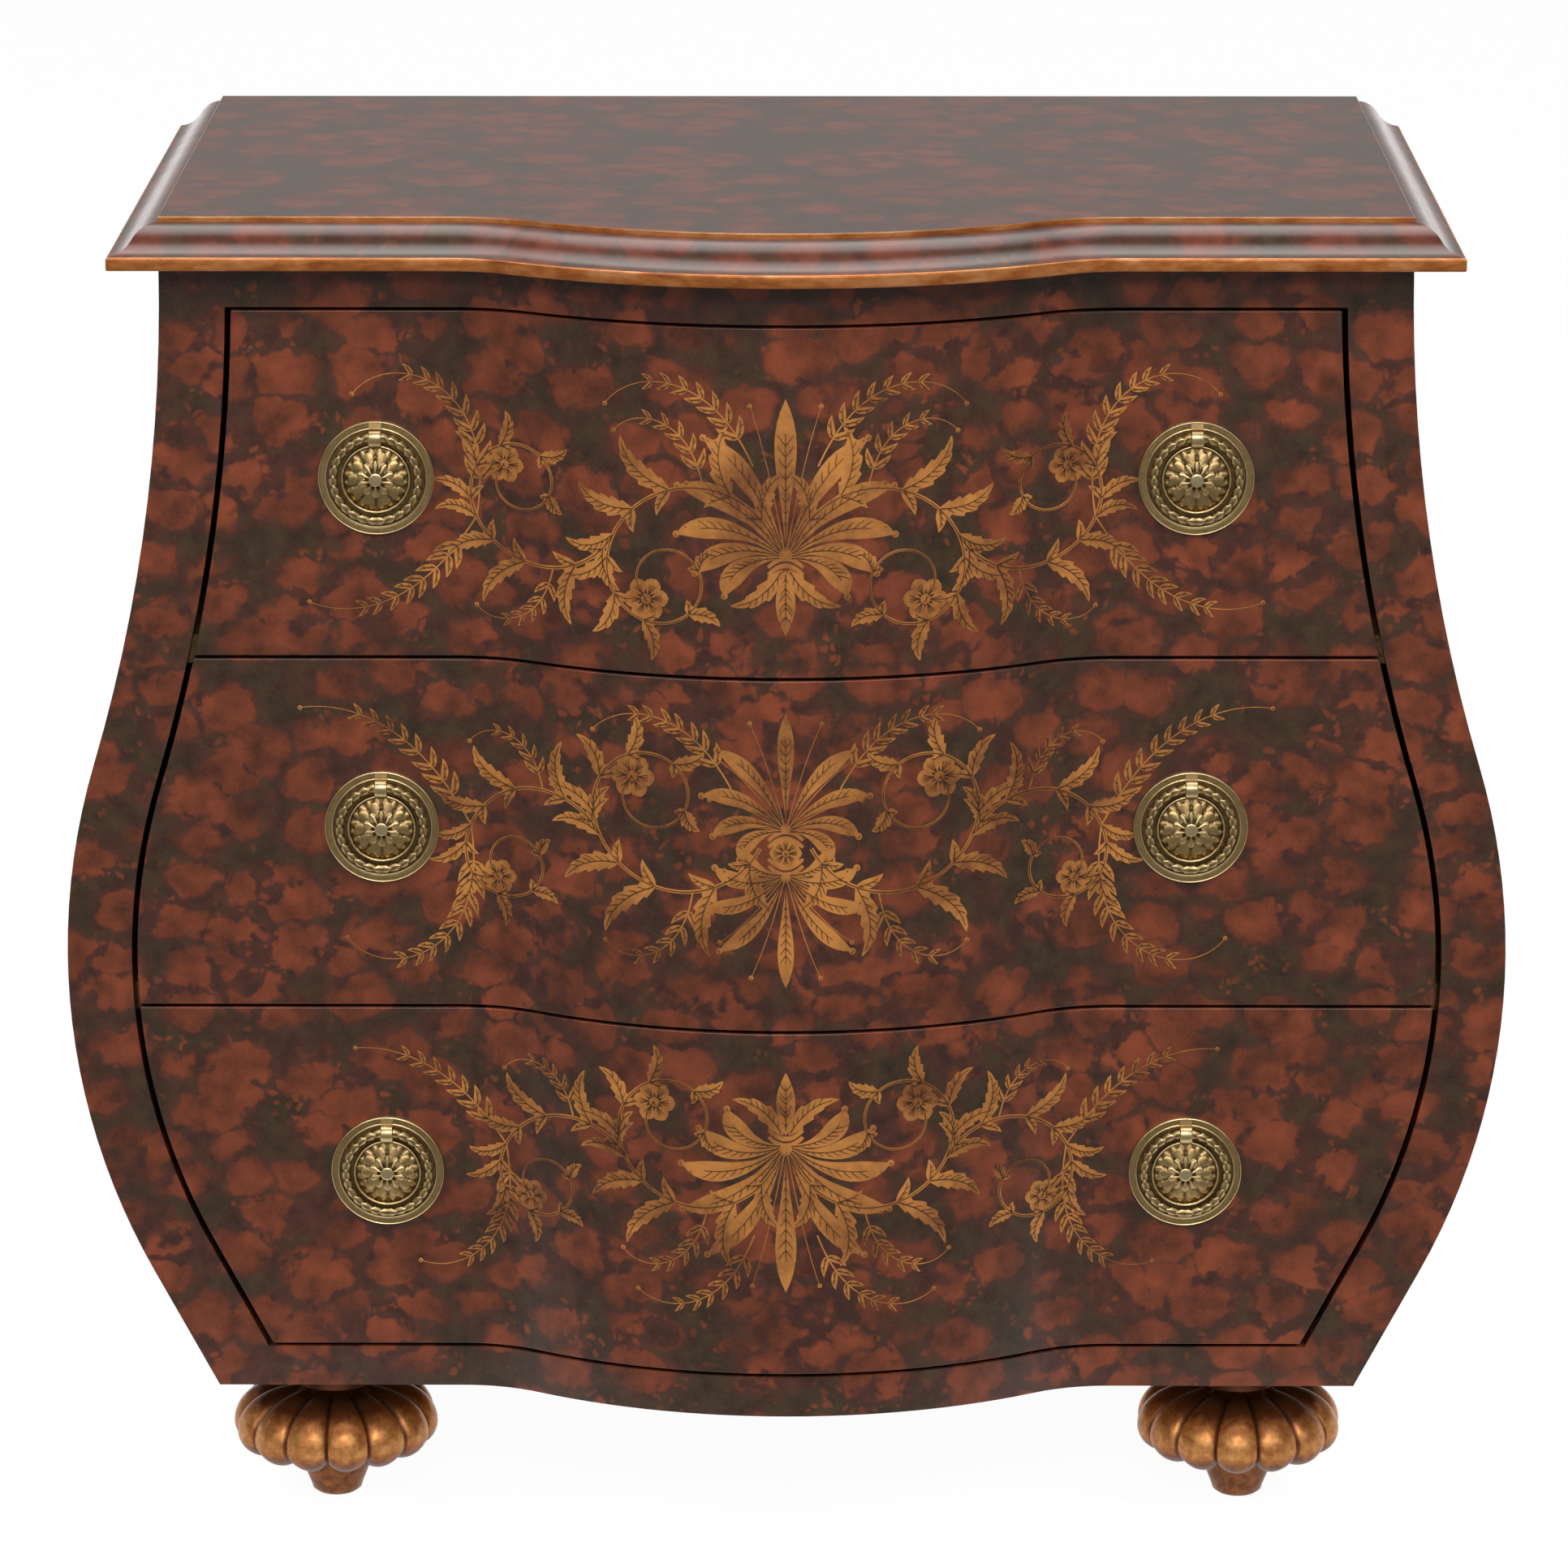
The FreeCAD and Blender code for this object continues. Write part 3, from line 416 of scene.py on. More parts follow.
gilding = water_gilding()
# the top board and the cyma take fainter dabs, painted in for the sheen that greys the red there
top_lacquer = tortoiseshell_lacquer("sheen_dulled_tortoiseshell_lacquer", 0.45)
section = cyma()
front_rows = []
for out, up in section:
    plan = bow_plan(PANEL_STAND_OUT + out, PANEL_HALF_WIDTH + out)
    front_rows.append([(x, FRONT / MM + y, top_low.z + up) for x, y in plan])
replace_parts(moulding("front_cyma", front_rows), "front_moulding")
for hand, side in (("left", -1), ("right", 1)):
    rows = []
    for out, up in section:
        corner_y = FRONT / MM - PANEL_STAND_OUT - out
        rows.append([(side * (PANEL_HALF_WIDTH + out), y, top_low.z + up) for y in (corner_y, BACK / MM)])
    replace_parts(moulding(f"{hand}_cyma", rows), f"{hand}_moulding")


def raised_panel():
    """The flat top board: its lacquered face, its eased edge and its sides, which are gilt."""
    ease = PANEL_EASE
    profile = [(0, top_low.z), (0, top_high.z - ease),
               (ease * 0.3, top_high.z - ease * 0.3), (ease, top_high.z)]
    loops = []
    for inset, level in profile:
        plan = bow_plan(PANEL_STAND_OUT - inset, PANEL_HALF_WIDTH - inset)
        front_edge = [(x, FRONT / MM + y, level) for x, y in plan]
        back_edge = [(x, BACK / MM - inset, level) for x, y in reversed(plan)]
        loops.append(front_edge + back_edge)
    points, faces = net(loops)
    around = len(loops[0])
    for start, flip in ((0, True), (len(points) - around, False)):
        for column in range(around // 2 - 1):
            face = (start + column, start + column + 1,
                    start + around - 2 - column, start + around - 1 - column)
            faces.append(face[::-1] if flip else face)
    panel = smooth_piece("raised_panel", points, faces, [top_lacquer, gilding], crease=20)
    for face in panel.data.polygons:
        if abs(face.normal.z) < 0.9:
            face.material_index = 1
    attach(panel, "case")
    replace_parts(panel, "top_panel")


raised_panel()

# ---------------------------------------------------------------- penwork on the drawers
# Each front is painted by hand over the dry lacquer with a scroll of leaves, tendrils and small
# flowers on both sides of a fan of leaves, in ochre-gold paint, and shaded with dark brown pen lines.
# The paint is laid as thin strokes, one over another, and follows the bow of the front.
# how thick the paint is, what each next stroke adds, how much thicker the mirrored half is, and how
# far ink stands over gold; then the depth of a leaf's teeth, as a share of its width
PAINT = 0.08
NEXT_STROKE = 0.0006
MIRRORED_HEIGHT = 1.03
INK_LIFT = 0.3
TOOTH_DEPTH = 0.34
HATCH_ANGLE = 48
BOW_MEETING = BOW_RADIUS * math.sin(BOW_ANGLE)


def front_recess(x):
    """How far the bowed face stands behind the case's flats, in mm; it is negative on the bow."""
    if abs(x) < BOW_MEETING:
        return BOW_RADIUS - BOW_DEPTH - math.sqrt(BOW_RADIUS ** 2 - x ** 2)
    if abs(x) < FLAT_END:
        return math.sqrt(BLEND_RADIUS ** 2 - (FLAT_END - abs(x)) ** 2) - BLEND_RADIUS
    return 0


def curl(start, heading, length, turn, late=0.0, spacing=3.0):
    """A path of (x, z) points that turns by some degrees; late puts the bend towards its end."""
    path, heading = [start], math.radians(heading)
    steps = max(5, round(length / spacing))
    for step in range(steps):
        share = (step + 0.5) / steps
        heading += math.radians(turn) * (1 - late + 2 * late * share) / steps
        x, z = path[-1]
        path.append((x + math.cos(heading) * length / steps, z + math.sin(heading) * length / steps))
    return path


def heading_at(path, index):
    """The direction of a path at one of its points, in degrees."""
    (x0, z0), (x1, z1) = path[max(index - 1, 0)], path[min(index + 1, len(path) - 1)]
    return math.degrees(math.atan2(z1 - z0, x1 - x0))


def spot(path, share):
    """The point at a share of a path's length, and the heading there."""
    index = round(share * (len(path) - 1))
    return path[index], heading_at(path, index)


def stroke(layer, path, widths):
    """One stroke of paint along a path, as rows of its four corners: (x, z, height over the front).

    Each stroke lies a hair over the one before it, so that no two of them share a face.
    """
    top = PAINT + NEXT_STROKE * len(layer)
    rows = []
    for index, (x, z) in enumerate(path):
        side = math.radians(heading_at(path, index) + 90)
        half = widths(index / (len(path) - 1)) / 2
        across = Vector((math.cos(side), math.sin(side))) * half
        left, right = (x + across.x, z + across.y), (x - across.x, z - across.y)
        rows.append([(*left, top), (*right, top), (*right, -PAINT), (*left, -PAINT)])
    layer.append(rows)


def leaf(start, heading, length, width, turn, hatches=6, widest=0.38, teeth=0):
    """A pointed leaf: its body in gold, then a midrib and slanting lines on its shaded side in ink."""
    path = curl(start, heading, length, turn, late=0.5, spacing=length / (7 * teeth or 14))
    power = math.log(0.5) / math.log(widest)
    bite = TOOTH_DEPTH if teeth else 0

    def body(share):
        notched = width * (1 - bite + bite * (share * teeth % 1))
        return 0.3 + notched * math.sin(math.pi * share ** power) ** 0.9

    stroke(gold, path, body)
    stroke(ink, path[1:-3], lambda share: 0.55 - 0.3 * share)
    shaded = -1 if turn > 0 else 1
    for number in range(hatches):
        share = 0.14 + 0.66 * number / hatches
        point, along = spot(path, share)
        reach = body(share) * 0.46
        if reach > 1.2:
            line = curl(point, along + shaded * HATCH_ANGLE, reach * 1.25, -20 * shaded, spacing=1.5)
            stroke(ink, line, lambda share: 0.42 - 0.25 * share)
    return path


def berry(centre, radius):
    """A round dot of gold with a short pen line on its shaded side."""
    x, z = centre
    stroke(gold, [(x - radius + 2 * radius * step / 8, z) for step in range(9)],
           lambda share: 2 * radius * math.sqrt(max(0.02, 1 - (2 * share - 1) ** 2)))
    stroke(ink, curl((x - 0.3 * radius, z - 0.5 * radius), 0, radius, 80, spacing=0.8), lambda share: 0.35)


def tendril(start, heading, length, turn, width=1.0):
    """A fine stem that rolls up towards its tip and ends in a berry."""
    path = curl(start, heading, length, turn, late=0.75, spacing=2.2)
    stroke(gold, path, lambda share: width * (1 - 0.6 * share))
    berry(path[-1], 1.5)
    return path


def flower(centre, radius, petals, tilt=0.0):
    """A small open flower: round petals, each with three pen lines, and a round middle."""
    for petal in range(petals):
        heading = tilt + 360 * petal / petals
        x = centre[0] + 0.22 * radius * math.cos(math.radians(heading))
        z = centre[1] + 0.22 * radius * math.sin(math.radians(heading))
        path = curl((x, z), heading, radius * 0.8, 0, spacing=radius / 12)
        stroke(gold, path, lambda share: 0.3 + radius * 0.75 * math.sin(math.pi * share ** 1.3) ** 0.7)
        for lean in (-16, 0, 16):
            line = curl((x, z), heading + lean, radius * 0.5, 0, spacing=radius / 8)
            stroke(ink, line, lambda share: 0.4 - 0.2 * share)
    berry(centre, radius * 0.24)


def sprig(start, heading, length, turn, leaves=4, leaf_length=13):
    """A thin stem with pairs of small leaves that get shorter towards its curled tip."""
    path = tendril(start, heading, length, turn, 1.1)
    for pair in range(leaves):
        index = round(len(path) * (0.16 + 0.62 * pair / leaves))
        size = leaf_length * (1 - 0.5 * pair / leaves)
        for side in (-1, 1):
            leaf(path[index], heading_at(path, index) + side * 48, size, size * 0.3, side * -30, hatches=2)


# leaves of an arch and of a roll: place along the stem as a share, lean in degrees, length in radii
ARCH_LEAVES = ((0.1, 36, 0.62), (0.3, 34, 0.86), (0.62, 34, 0.86), (0.84, 38, 0.7))
ROLL_LEAVES = ((0.08, 30, 0.6), (0.2, 30, 0.56), (0.33, 32, 0.5), (0.48, 34, 0.4), (0.64, 36, 0.3))


def scroll(start, side, radii, span):
    """A running scroll: each arch goes on into a roll round a flower, and the next arch starts there."""
    heading = side * span / 2
    for radius in radii:
        arch = curl(start, heading, math.radians(span) * radius, -side * span)
        stroke(gold, arch, lambda share: 2.6 - 0.5 * share)
        stroke(ink, arch, lambda share: 0.4)
        for share, lean, size in ARCH_LEAVES:
            point, along = spot(arch, share)
            leaf(point, along + side * lean, size * radius, 0.25 * radius, side * 66, teeth=5)
            leaf(point, along - side * 30, size * radius * 0.4, 0.11 * radius, -side * 40, hatches=3)
        point, along = spot(arch, 0.44)
        sprig(point, along + side * 74, radius * 1.5, -side * 130, leaves=5, leaf_length=radius * 0.25)
        start, heading = spot(arch, 1)
        roll = curl(start, heading, radius * 3.5, -side * 430, late=0.5)
        stroke(gold, roll, lambda share: 2.3 - 0.9 * share)
        stroke(ink, roll, lambda share: 0.35)
        for share, lean, size in ROLL_LEAVES:
            point, along = spot(roll, share)
            leaf(point, along + side * lean, size * radius, 0.2 * radius, side * 64, hatches=4, teeth=4)
            leaf(point, along - side * lean, size * radius * 0.42, 0.09 * radius, -side * 50, hatches=2)
        flower(roll[-1], radius * 0.25, 6, tilt=heading)
        leaf(start, heading + side * 20, radius * 0.6, 0.2 * radius, side * 80, teeth=4)
        side = -side
    return start


def palmette(level, height, lobes, up=1, pendant=True):
    """The right half of a palmette: leaves that open from a collar; a pendant leaf may hang under it."""
    base = (0, level)
    for lobe in reversed(range(lobes)):
        share = lobe / (lobes - 1)
        heading = up * (90 - 84 * share)
        length = height * (1 - 0.5 * share ** 1.2)
        path = leaf(base, heading, length, height * 0.135, -up * (0 if lobe == 0 else 26 + 60 * share),
                    hatches=9, widest=0.7)
        if lobe:
            tendril(base, heading + up * 7, length * 1.06, -up * 40 * share, 0.8)
            berry(path[-1], 2.2)
    for drop in (0, -4.5):
        stroke(gold, [(1.8 * step, level + up * (drop - 0.16 * step ** 2)) for step in range(7)],
               lambda share: 3.2 - share)
    if pendant:
        leaf((0, level - 7 * up), -up * 90, height * 0.42, height * 0.12, 0, hatches=6, widest=0.5)
        leaf((2, level - 7 * up), -up * 62, height * 0.42, height * 0.13, up * 60, teeth=4)


def paint(word, name, layer, material, lift):
    """Lay the strokes of one colour on a drawer front, on the right and mirrored on the left."""
    points, faces = [], []
    low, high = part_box(f"{word}_drawer_front")
    middle = (low.z + high.z) / 2 / MM
    for side, thickening in ((1, 1), (-1, MIRRORED_HEIGHT)):
        for rows in layer:
            start = len(points)
            more, skin = net(rows)
            for x, z, height in more:
                level = height * thickening + (lift if height > 0 else 0)
                points.append((side * x, FRONT / MM + front_recess(x) - level, middle + z))
            skin += [(3, 2, 1, 0), tuple(len(more) - 4 + corner for corner in range(4))]
            faces += [tuple(corner + start for corner in face[::side]) for face in skin]
    painted = smooth_piece(f"{word}_{name}", points, faces, [material], crease=60)
    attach(painted, f"{word}_drawer")


def brush_paint(name, light, dark, roughness, metallic=0.0):
    """Paint from a brush: thinned out and browner over broad places, uneven within a stroke."""
    material, tree = new_material(name)
    place = add(tree, "TexCoord").outputs["Object"]
    load = add(tree, "TexNoise", {"Vector": place, "Scale": 1 / (9 * MM), "Detail": 5.0,
                                  "Roughness": 0.7})
    thinned = add(tree, "TexNoise", {"Vector": place, "Scale": 1 / (48 * MM), "Detail": 1.0})
    body = add(tree, "Math", {0: thinned, 1: 1.5, 2: load}, operation="MULTIPLY_ADD")
    fullness = add(tree, "MapRange", {"Value": body, "From Min": 0.9, "From Max": 1.55})
    colour = add(tree, "ValToRGB", {"Fac": fullness}, ((0.0, srgb(dark)), (1.0, srgb(light))))
    shader = add(tree, "BsdfPrincipled", {"Base Color": colour, "Roughness": roughness,
                                          "Metallic": metallic, "IOR": 1.5})
    add(tree, "OutputMaterial", {"Surface": shader})
    return material


gold_paint = brush_paint("ochre_gold_paint", "#cf8a44", "#7d4a26", 0.4, 0.15)
ink_lines = brush_paint("brown_pen_lines", "#4a2713", "#2e170c", 0.45)
# places are in mm from the middle of the front, and headings in degrees from the right
for word in DRAWERS:
    gold, ink = [], []
    if word == "top":
        palmette(-34, 100, 6)
        end = scroll((8, -20), 1, (55, 48), 128)
        sprig(end, 100, 150, -150, leaves=9, leaf_length=17)
        sprig(end, -58, 130, 80, leaves=8, leaf_length=16)
        sprig((20, 24), 66, 120, -120, leaves=7, leaf_length=15)
    elif word == "middle":
        palmette(17, 76, 5, pendant=False)
        palmette(-11, 74, 5, up=-1, pendant=False)
        flower((0, 3), 10, 8)
        end = scroll((16, 6), -1, (56, 46), 128)
        sprig(end, -98, 150, 150, leaves=9, leaf_length=17)
        sprig(end, 62, 140, -70, leaves=8, leaf_length=16)
        sprig((34, 44), 62, 110, -110, leaves=7, leaf_length=15)
    else:
        palmette(40, 98, 6, up=-1)
        end = scroll((8, 24), -1, (53, 44), 124)
        sprig(end, -100, 120, 120, leaves=8, leaf_length=16)
        sprig(end, 56, 120, -60, leaves=7, leaf_length=15)
        sprig((20, -20), -70, 100, 110, leaves=6, leaf_length=14)
    paint(word, "gold_penwork", gold, gold_paint, 0)
    paint(word, "ink_penwork", ink, ink_lines, INK_LIFT)

# ---------------------------------------------------------------- bun feet
# Each foot is turned from one block: a tapered peg, a bun carved into fourteen round lobes and a
# plain neck. It is painted in bronze gilt over a red-brown ground; the glaze stays dark in the
# valleys, the bun's top and underside are darkened as painted shade, and the lobes are rubbed bright.
LOBES = 14
FOOT_STEPS_PER_LOBE = 16
FOOT_LEVELS = 34
BUN_LEVEL, BUN_OUTER = 48.5, 67
UPPER_HEIGHT, LOWER_HEIGHT = 28.5, 17.5
UPPER_REACH, LOWER_REACH = 36, 20
VALLEY = 0.935
GLIDE = 2
# radius and level of each ring of the peg and of the neck, and how dark the glaze is there; how dark the
# painted shade is on top of the bun and under it; and how far, in degrees, a foot was turned before it was
# bolted on
PEG = ((0.5, 0), (9, 0), (13.5, 0.8), (16.2, 3), (17, 6), (22.5, 20), (22.5, 31))
NECK = ((25.2, 77), (25.6, 77.6), (25.6, 78.6), (25, 79.2), (25, 97), (0.5, 97))
PEG_GLAZE, NECK_GLAZE, TOP_PAINTED_SHADE, UNDER_PAINTED_SHADE = 0.35, 0.55, 0.85, 0.68
LOBE_TURN = {"left": 11, "right": -4}


def bronze_gilt():
    """Bronze paint, rubbed through: bright on the lobes, dark glaze in the valleys, painted shade on top and
    underneath.
    """
    material, tree = new_material("bronze_gilt")
    place = add(tree, "TexCoord").outputs["Object"]
    # the value per point: dark glaze in the valleys, and painted shade on the bun's top and underside
    glaze_and_shade = add(tree, "Attribute", attribute_name="wear_and_shade").outputs["Fac"]
    mottle = add(tree, "TexNoise", {"Vector": place, "Scale": 1 / (7 * MM), "Detail": 6.0,
                                    "Roughness": 0.72})
    rubbed_and_shaded = add(tree, "Math", {0: mottle, 1: -1.0, 2: glaze_and_shade}, operation="MULTIPLY_ADD")
    level = add(tree, "Math", {0: rubbed_and_shaded, 1: 0.67}, operation="ADD")
    colour = add(tree, "ValToRGB", {"Fac": level},
                 ((0.05, srgb("#cc9453")), (0.3, srgb("#a66734")), (0.6, srgb("#6b3a1d")),
                  (1.0, srgb("#5a3a22"))))
    bump = add(tree, "Bump", {"Height": mottle, "Strength": 0.25, "Distance": 0.5 * MM})
    shader = add(tree, "BsdfPrincipled", {"Base Color": colour, "Metallic": 0.6, "Roughness": 0.36,
                                          "Normal": bump})
    add(tree, "OutputMaterial", {"Surface": shader})
    return material


def gadrooned_foot(name, centre_x, centre_y, lobe_turn):
    """A foot as one skin, from the peg's toe over the lobed bun to the neck; a lobe is at lobe_turn."""
    rows, shade = [], []
    around = LOBES * FOOT_STEPS_PER_LOBE

    def ring(radius, rise, lobed, glaze_and_shade):
        row = []
        for step in range(around):
            turn = lobe_turn + math.pi * (2 * step / around - 1 / LOBES)
            across = 2 * (step % FOOT_STEPS_PER_LOBE) / FOOT_STEPS_PER_LOBE - 1
            hollow = lobed * (0.4 * across ** 2 + 0.6 * (1 - math.sqrt(1 - across ** 2)))
            reach = radius * (1 - (1 - VALLEY) * hollow)
            level = BUN_LEVEL + rise * (1 - (0.4 if rise < 0 else 0.2) * hollow)
            row.append((centre_x + reach * math.sin(turn), centre_y - reach * math.cos(turn), GLIDE + level))
            shade.append(max(glaze_and_shade, 0.8 * hollow ** 5))
        rows.append(row)

    for radius, level in PEG:
        ring(radius, level - BUN_LEVEL, 0, PEG_GLAZE)
    for step in range(FOOT_LEVELS + 1):
        rise = math.pi * (step / FOOT_LEVELS - 0.5)
        reach, height = (UPPER_REACH, UPPER_HEIGHT) if rise > 0 else (LOWER_REACH, LOWER_HEIGHT)
        above, below = max(0, math.sin(rise)), max(0, -math.sin(rise))
        # the bun is darkened towards its top and its underside: painted shade
        ring(BUN_OUTER - reach * (1 - math.cos(rise)), height * math.sin(rise), 1,
             max(0.05, TOP_PAINTED_SHADE * above ** 2.8, UNDER_PAINTED_SHADE * below ** 1.1))
    for radius, level in NECK:
        ring(radius, level - BUN_LEVEL, 0, NECK_GLAZE)
    points, faces = net(rows)
    foot = smooth_piece(name, points, faces, [bronze], crease=60, wear_and_shade=shade)
    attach(foot, "case")
    return foot


bronze = bronze_gilt()
for end in ("front", "rear"):
    for hand in ("left", "right"):
        low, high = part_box(f"{end}_{hand}_foot")
        middle = (low + high) / 2 / MM
        foot = gadrooned_foot(f"{end}_{hand}_bun_foot", middle.x, middle.y,
                              math.radians(LOBE_TURN[hand]))
        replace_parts(foot, f"{end}_{hand}_foot")

# ---------------------------------------------------------------- ring pulls
# Each pull is cast and stamped brass, antiqued in acid and relieved on a buff: a round back plate
# with a beaded rim and a rosette of petals, a laurel ring that hangs round it and a strap that is
# folded over the ring. A square post goes through the drawer front to a nut.
PLATE_RADIUS = 36.2
BUTTON_RADIUS, ROSETTE_RADIUS, COLLAR_RADIUS = 4.2, 20.3, 21.8
# rings of points on the plate, close together where its relief turns: the button, the rosette, the
# collar round it and the flat, and the two beads of the rim
PLATE_RINGS = [0.05, 2, 3.2, 3.8, 4.1, 4.19, 4.25]
PLATE_RINGS += [4.3 + 15.9 * step / 30 for step in range(1, 31)]
PLATE_RINGS += [20.31, 20.5, 20.8, 21.05, 21.3, 21.6, 21.79, 21.9, 23, 27]
PLATE_RINGS += [30.55, 30.62, 30.8, 31.05, 31.3, 31.55, 31.8, 31.98, 32.1, 33.3, 34.4]
PLATE_RINGS += [34.47, 34.7, 35.04, 35.1, 35.3, 35.6, 35.9, 36.1, 36.14]
AROUND_PLATE = 192
RING_RADIUS = 26.6
RING_TUBE = 2.9
LAUREL_LEAVES = 13
STEPS_PER_LEAF, AROUND_TUBE = 26, 20
# the fold's section across the strap, as place and easing; the stem's, as height and stand-out
STRAP_SECTION = ((-4, 0.6), (-3.85, 0.2), (-3.4, 0), (3.4, 0), (3.85, 0.2), (4, 0.6))
STEM_SECTION = ((30, 0.5), (30, 4.2), (35.2, 3.4), (35.2, 0.5))
STEM_HALF_WIDTH = 3.8
FOLD_OUTER, FOLD_INNER = 5.2, 3.3
FOLD_DROP, FOLD_STRETCH = 0.6, 1.15


def antique_brass():
    """Antiqued brass: brown-green in the hollows and bright where the buff reached."""
    material, tree = new_material("antique_brass")
    place = add(tree, "TexCoord").outputs["Object"]
    # this value is the buffed relief, and on the straps' stems it is painted shade as well
    relief_and_shade = add(tree, "Attribute", attribute_name="wear_and_shade").outputs["Fac"]
    cloud = add(tree, "TexNoise", {"Vector": place, "Scale": 1 / (3 * MM), "Detail": 4.0})
    wear_and_shade = add(tree, "Math", {0: cloud, 1: 0.3, 2: relief_and_shade}, operation="MULTIPLY_ADD")
    colour = add(tree, "ValToRGB", {"Fac": wear_and_shade},
                 ((0.12, srgb("#5a472e")), (0.5, srgb("#b89a68")), (1.0, srgb("#ead7a6"))))
    gloss = add(tree, "MapRange", {"Value": wear_and_shade, "To Min": 0.48, "To Max": 0.26})
    shader = add(tree, "BsdfPrincipled", {"Base Color": colour, "Metallic": 1.0, "Roughness": gloss})
    add(tree, "OutputMaterial", {"Surface": shader})
    return material


def petal_height(turn, radius, count, inner, outer, widest):
    """How far one of count petals round a centre stands up at a place, from 0 to 1."""
    if not inner < radius < outer:
        return 0
    along = (radius - inner) / (outer - inner)
    if along < widest:
        half = (along / widest) ** 0.6
    else:
        half = (1 - (along - widest) / (1 - widest)) ** 0.5
    across = abs(2 * ((turn * count / (2 * math.pi)) % 1) - 1)
    return math.sqrt(max(0, 1 - (across / max(half * 0.93, 0.01)) ** 2))


def plate_height(radius, turn):
    """The plate's face in mm above its back, and its wear, from the button out to the rim."""
    if radius < BUTTON_RADIUS:
        return 8.4 + 0.6 * math.sqrt(max(0, 1 - (radius / BUTTON_RADIUS) ** 4)), 0.7
    if radius < ROSETTE_RADIUS:
        inner = petal_height(turn, radius, 10, 2.6, 12.0, 0.7)
        outer = petal_height(turn + math.pi / 10, radius, 10, 6.0, 17.6, 0.62)
        tip = petal_height(turn, radius, 20, 13.0, 20.2, 0.4)
        dome = 6.4 - 3.0 * ((radius - 3.9) / 16.4) ** 1.2
        wear_and_shade = 0.02 + max(0.5 * inner, 0.3 * outer, 0.3 * tip)
        return dome + max(1.9 * inner, 1.1 * outer, 0.7 * tip), wear_and_shade
    if radius < COLLAR_RADIUS:
        return 5.2 + 1.2 * math.sqrt(max(0, 1 - ((radius - 21.05) / 0.76) ** 2)), 0.75
    for middle, half, base, rise in ((31.3, 0.7, 1.7, 0.7), (35.6, 0.55, 1.9, 0.7)):
        if abs(radius - middle) < half:
            return base + rise * math.sqrt(1 - ((radius - middle) / half) ** 2), 0.7
    return (1.5, 0.05) if radius < 30.6 else (1.9, 0.25)


def pull_plates(word, centres):
    """Both back plates of one drawer, as thin shells seated on its flats."""
    points, faces, relief_and_shade = [], [], []
    turns = [2 * math.pi * step / AROUND_PLATE for step in range(AROUND_PLATE)]
    for x, z in centres:
        rows = []
        for radius in PLATE_RINGS:
            row = []
            for turn in turns:
                height, wear_and_shade = plate_height(radius, turn)
                row.append((x + radius * math.cos(turn), FRONT / MM - height, z + radius * math.sin(turn)))
                relief_and_shade.append(wear_and_shade)
            rows.append(row)
        for radius in (PLATE_RADIUS, PLATE_RINGS[0]):
            rows.append([(x + radius * math.cos(turn), FRONT / MM, z + radius * math.sin(turn))
                         for turn in turns])
            relief_and_shade += [0.4] * AROUND_PLATE
        new_points, new_faces = net(rows)
        start = len(points)
        points += new_points
        faces += [tuple(corner + start for corner in face) for face in new_faces]
    plates = smooth_piece(f"{word}_rosette_plates", points, faces, [brass], crease=40, wear_and_shade=relief_and_shade)
    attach(plates, f"{word}_drawer")
    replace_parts(plates, f"{word}_ring_plates")


def laurel_ring(name, x, z, depth):
    """A hanging ring cast as a wreath: two rows of leaves on each side, tips meeting at the bottom."""
    steps = STEPS_PER_LEAF * LAUREL_LEAVES
    rows, relief_and_shade = [], []
    for step in range(steps):
        turn = 2 * math.pi * step / steps
        row = []
        for side in range(AROUND_TUBE):
            roll = 2 * math.pi * side / AROUND_TUBE
            front_ward = math.cos(roll)
            down = min(turn, 2 * math.pi - turn) / math.pi
            lean = 0.45 * abs(math.sin(roll)) if front_ward > -0.2 else 0.4
            along = (down * LAUREL_LEAVES - lean) % 1
            swell = (1 - along) ** 0.5 * min(1, along * 6 + 0.3)
            vein = math.exp(-(math.sin(roll) / 0.16) ** 2) if front_ward > 0 else 0
            tube = RING_TUBE * (0.62 + 0.38 * swell - 0.1 * vein)
            reach = RING_RADIUS + tube * math.sin(roll)
            row.append((x + reach * math.sin(turn), depth - tube * front_ward, z + reach * math.cos(turn)))
            relief_and_shade.append(0.85 * swell ** 1.5 * (1 - 0.7 * vein))
        rows.append(row)
    rows.append(rows[0])
    relief_and_shade += relief_and_shade[:AROUND_TUBE]
    points, faces = net(rows)
    ring = smooth_piece(name, points, faces, [brass], crease=50, wear_and_shade=relief_and_shade)
    return ring


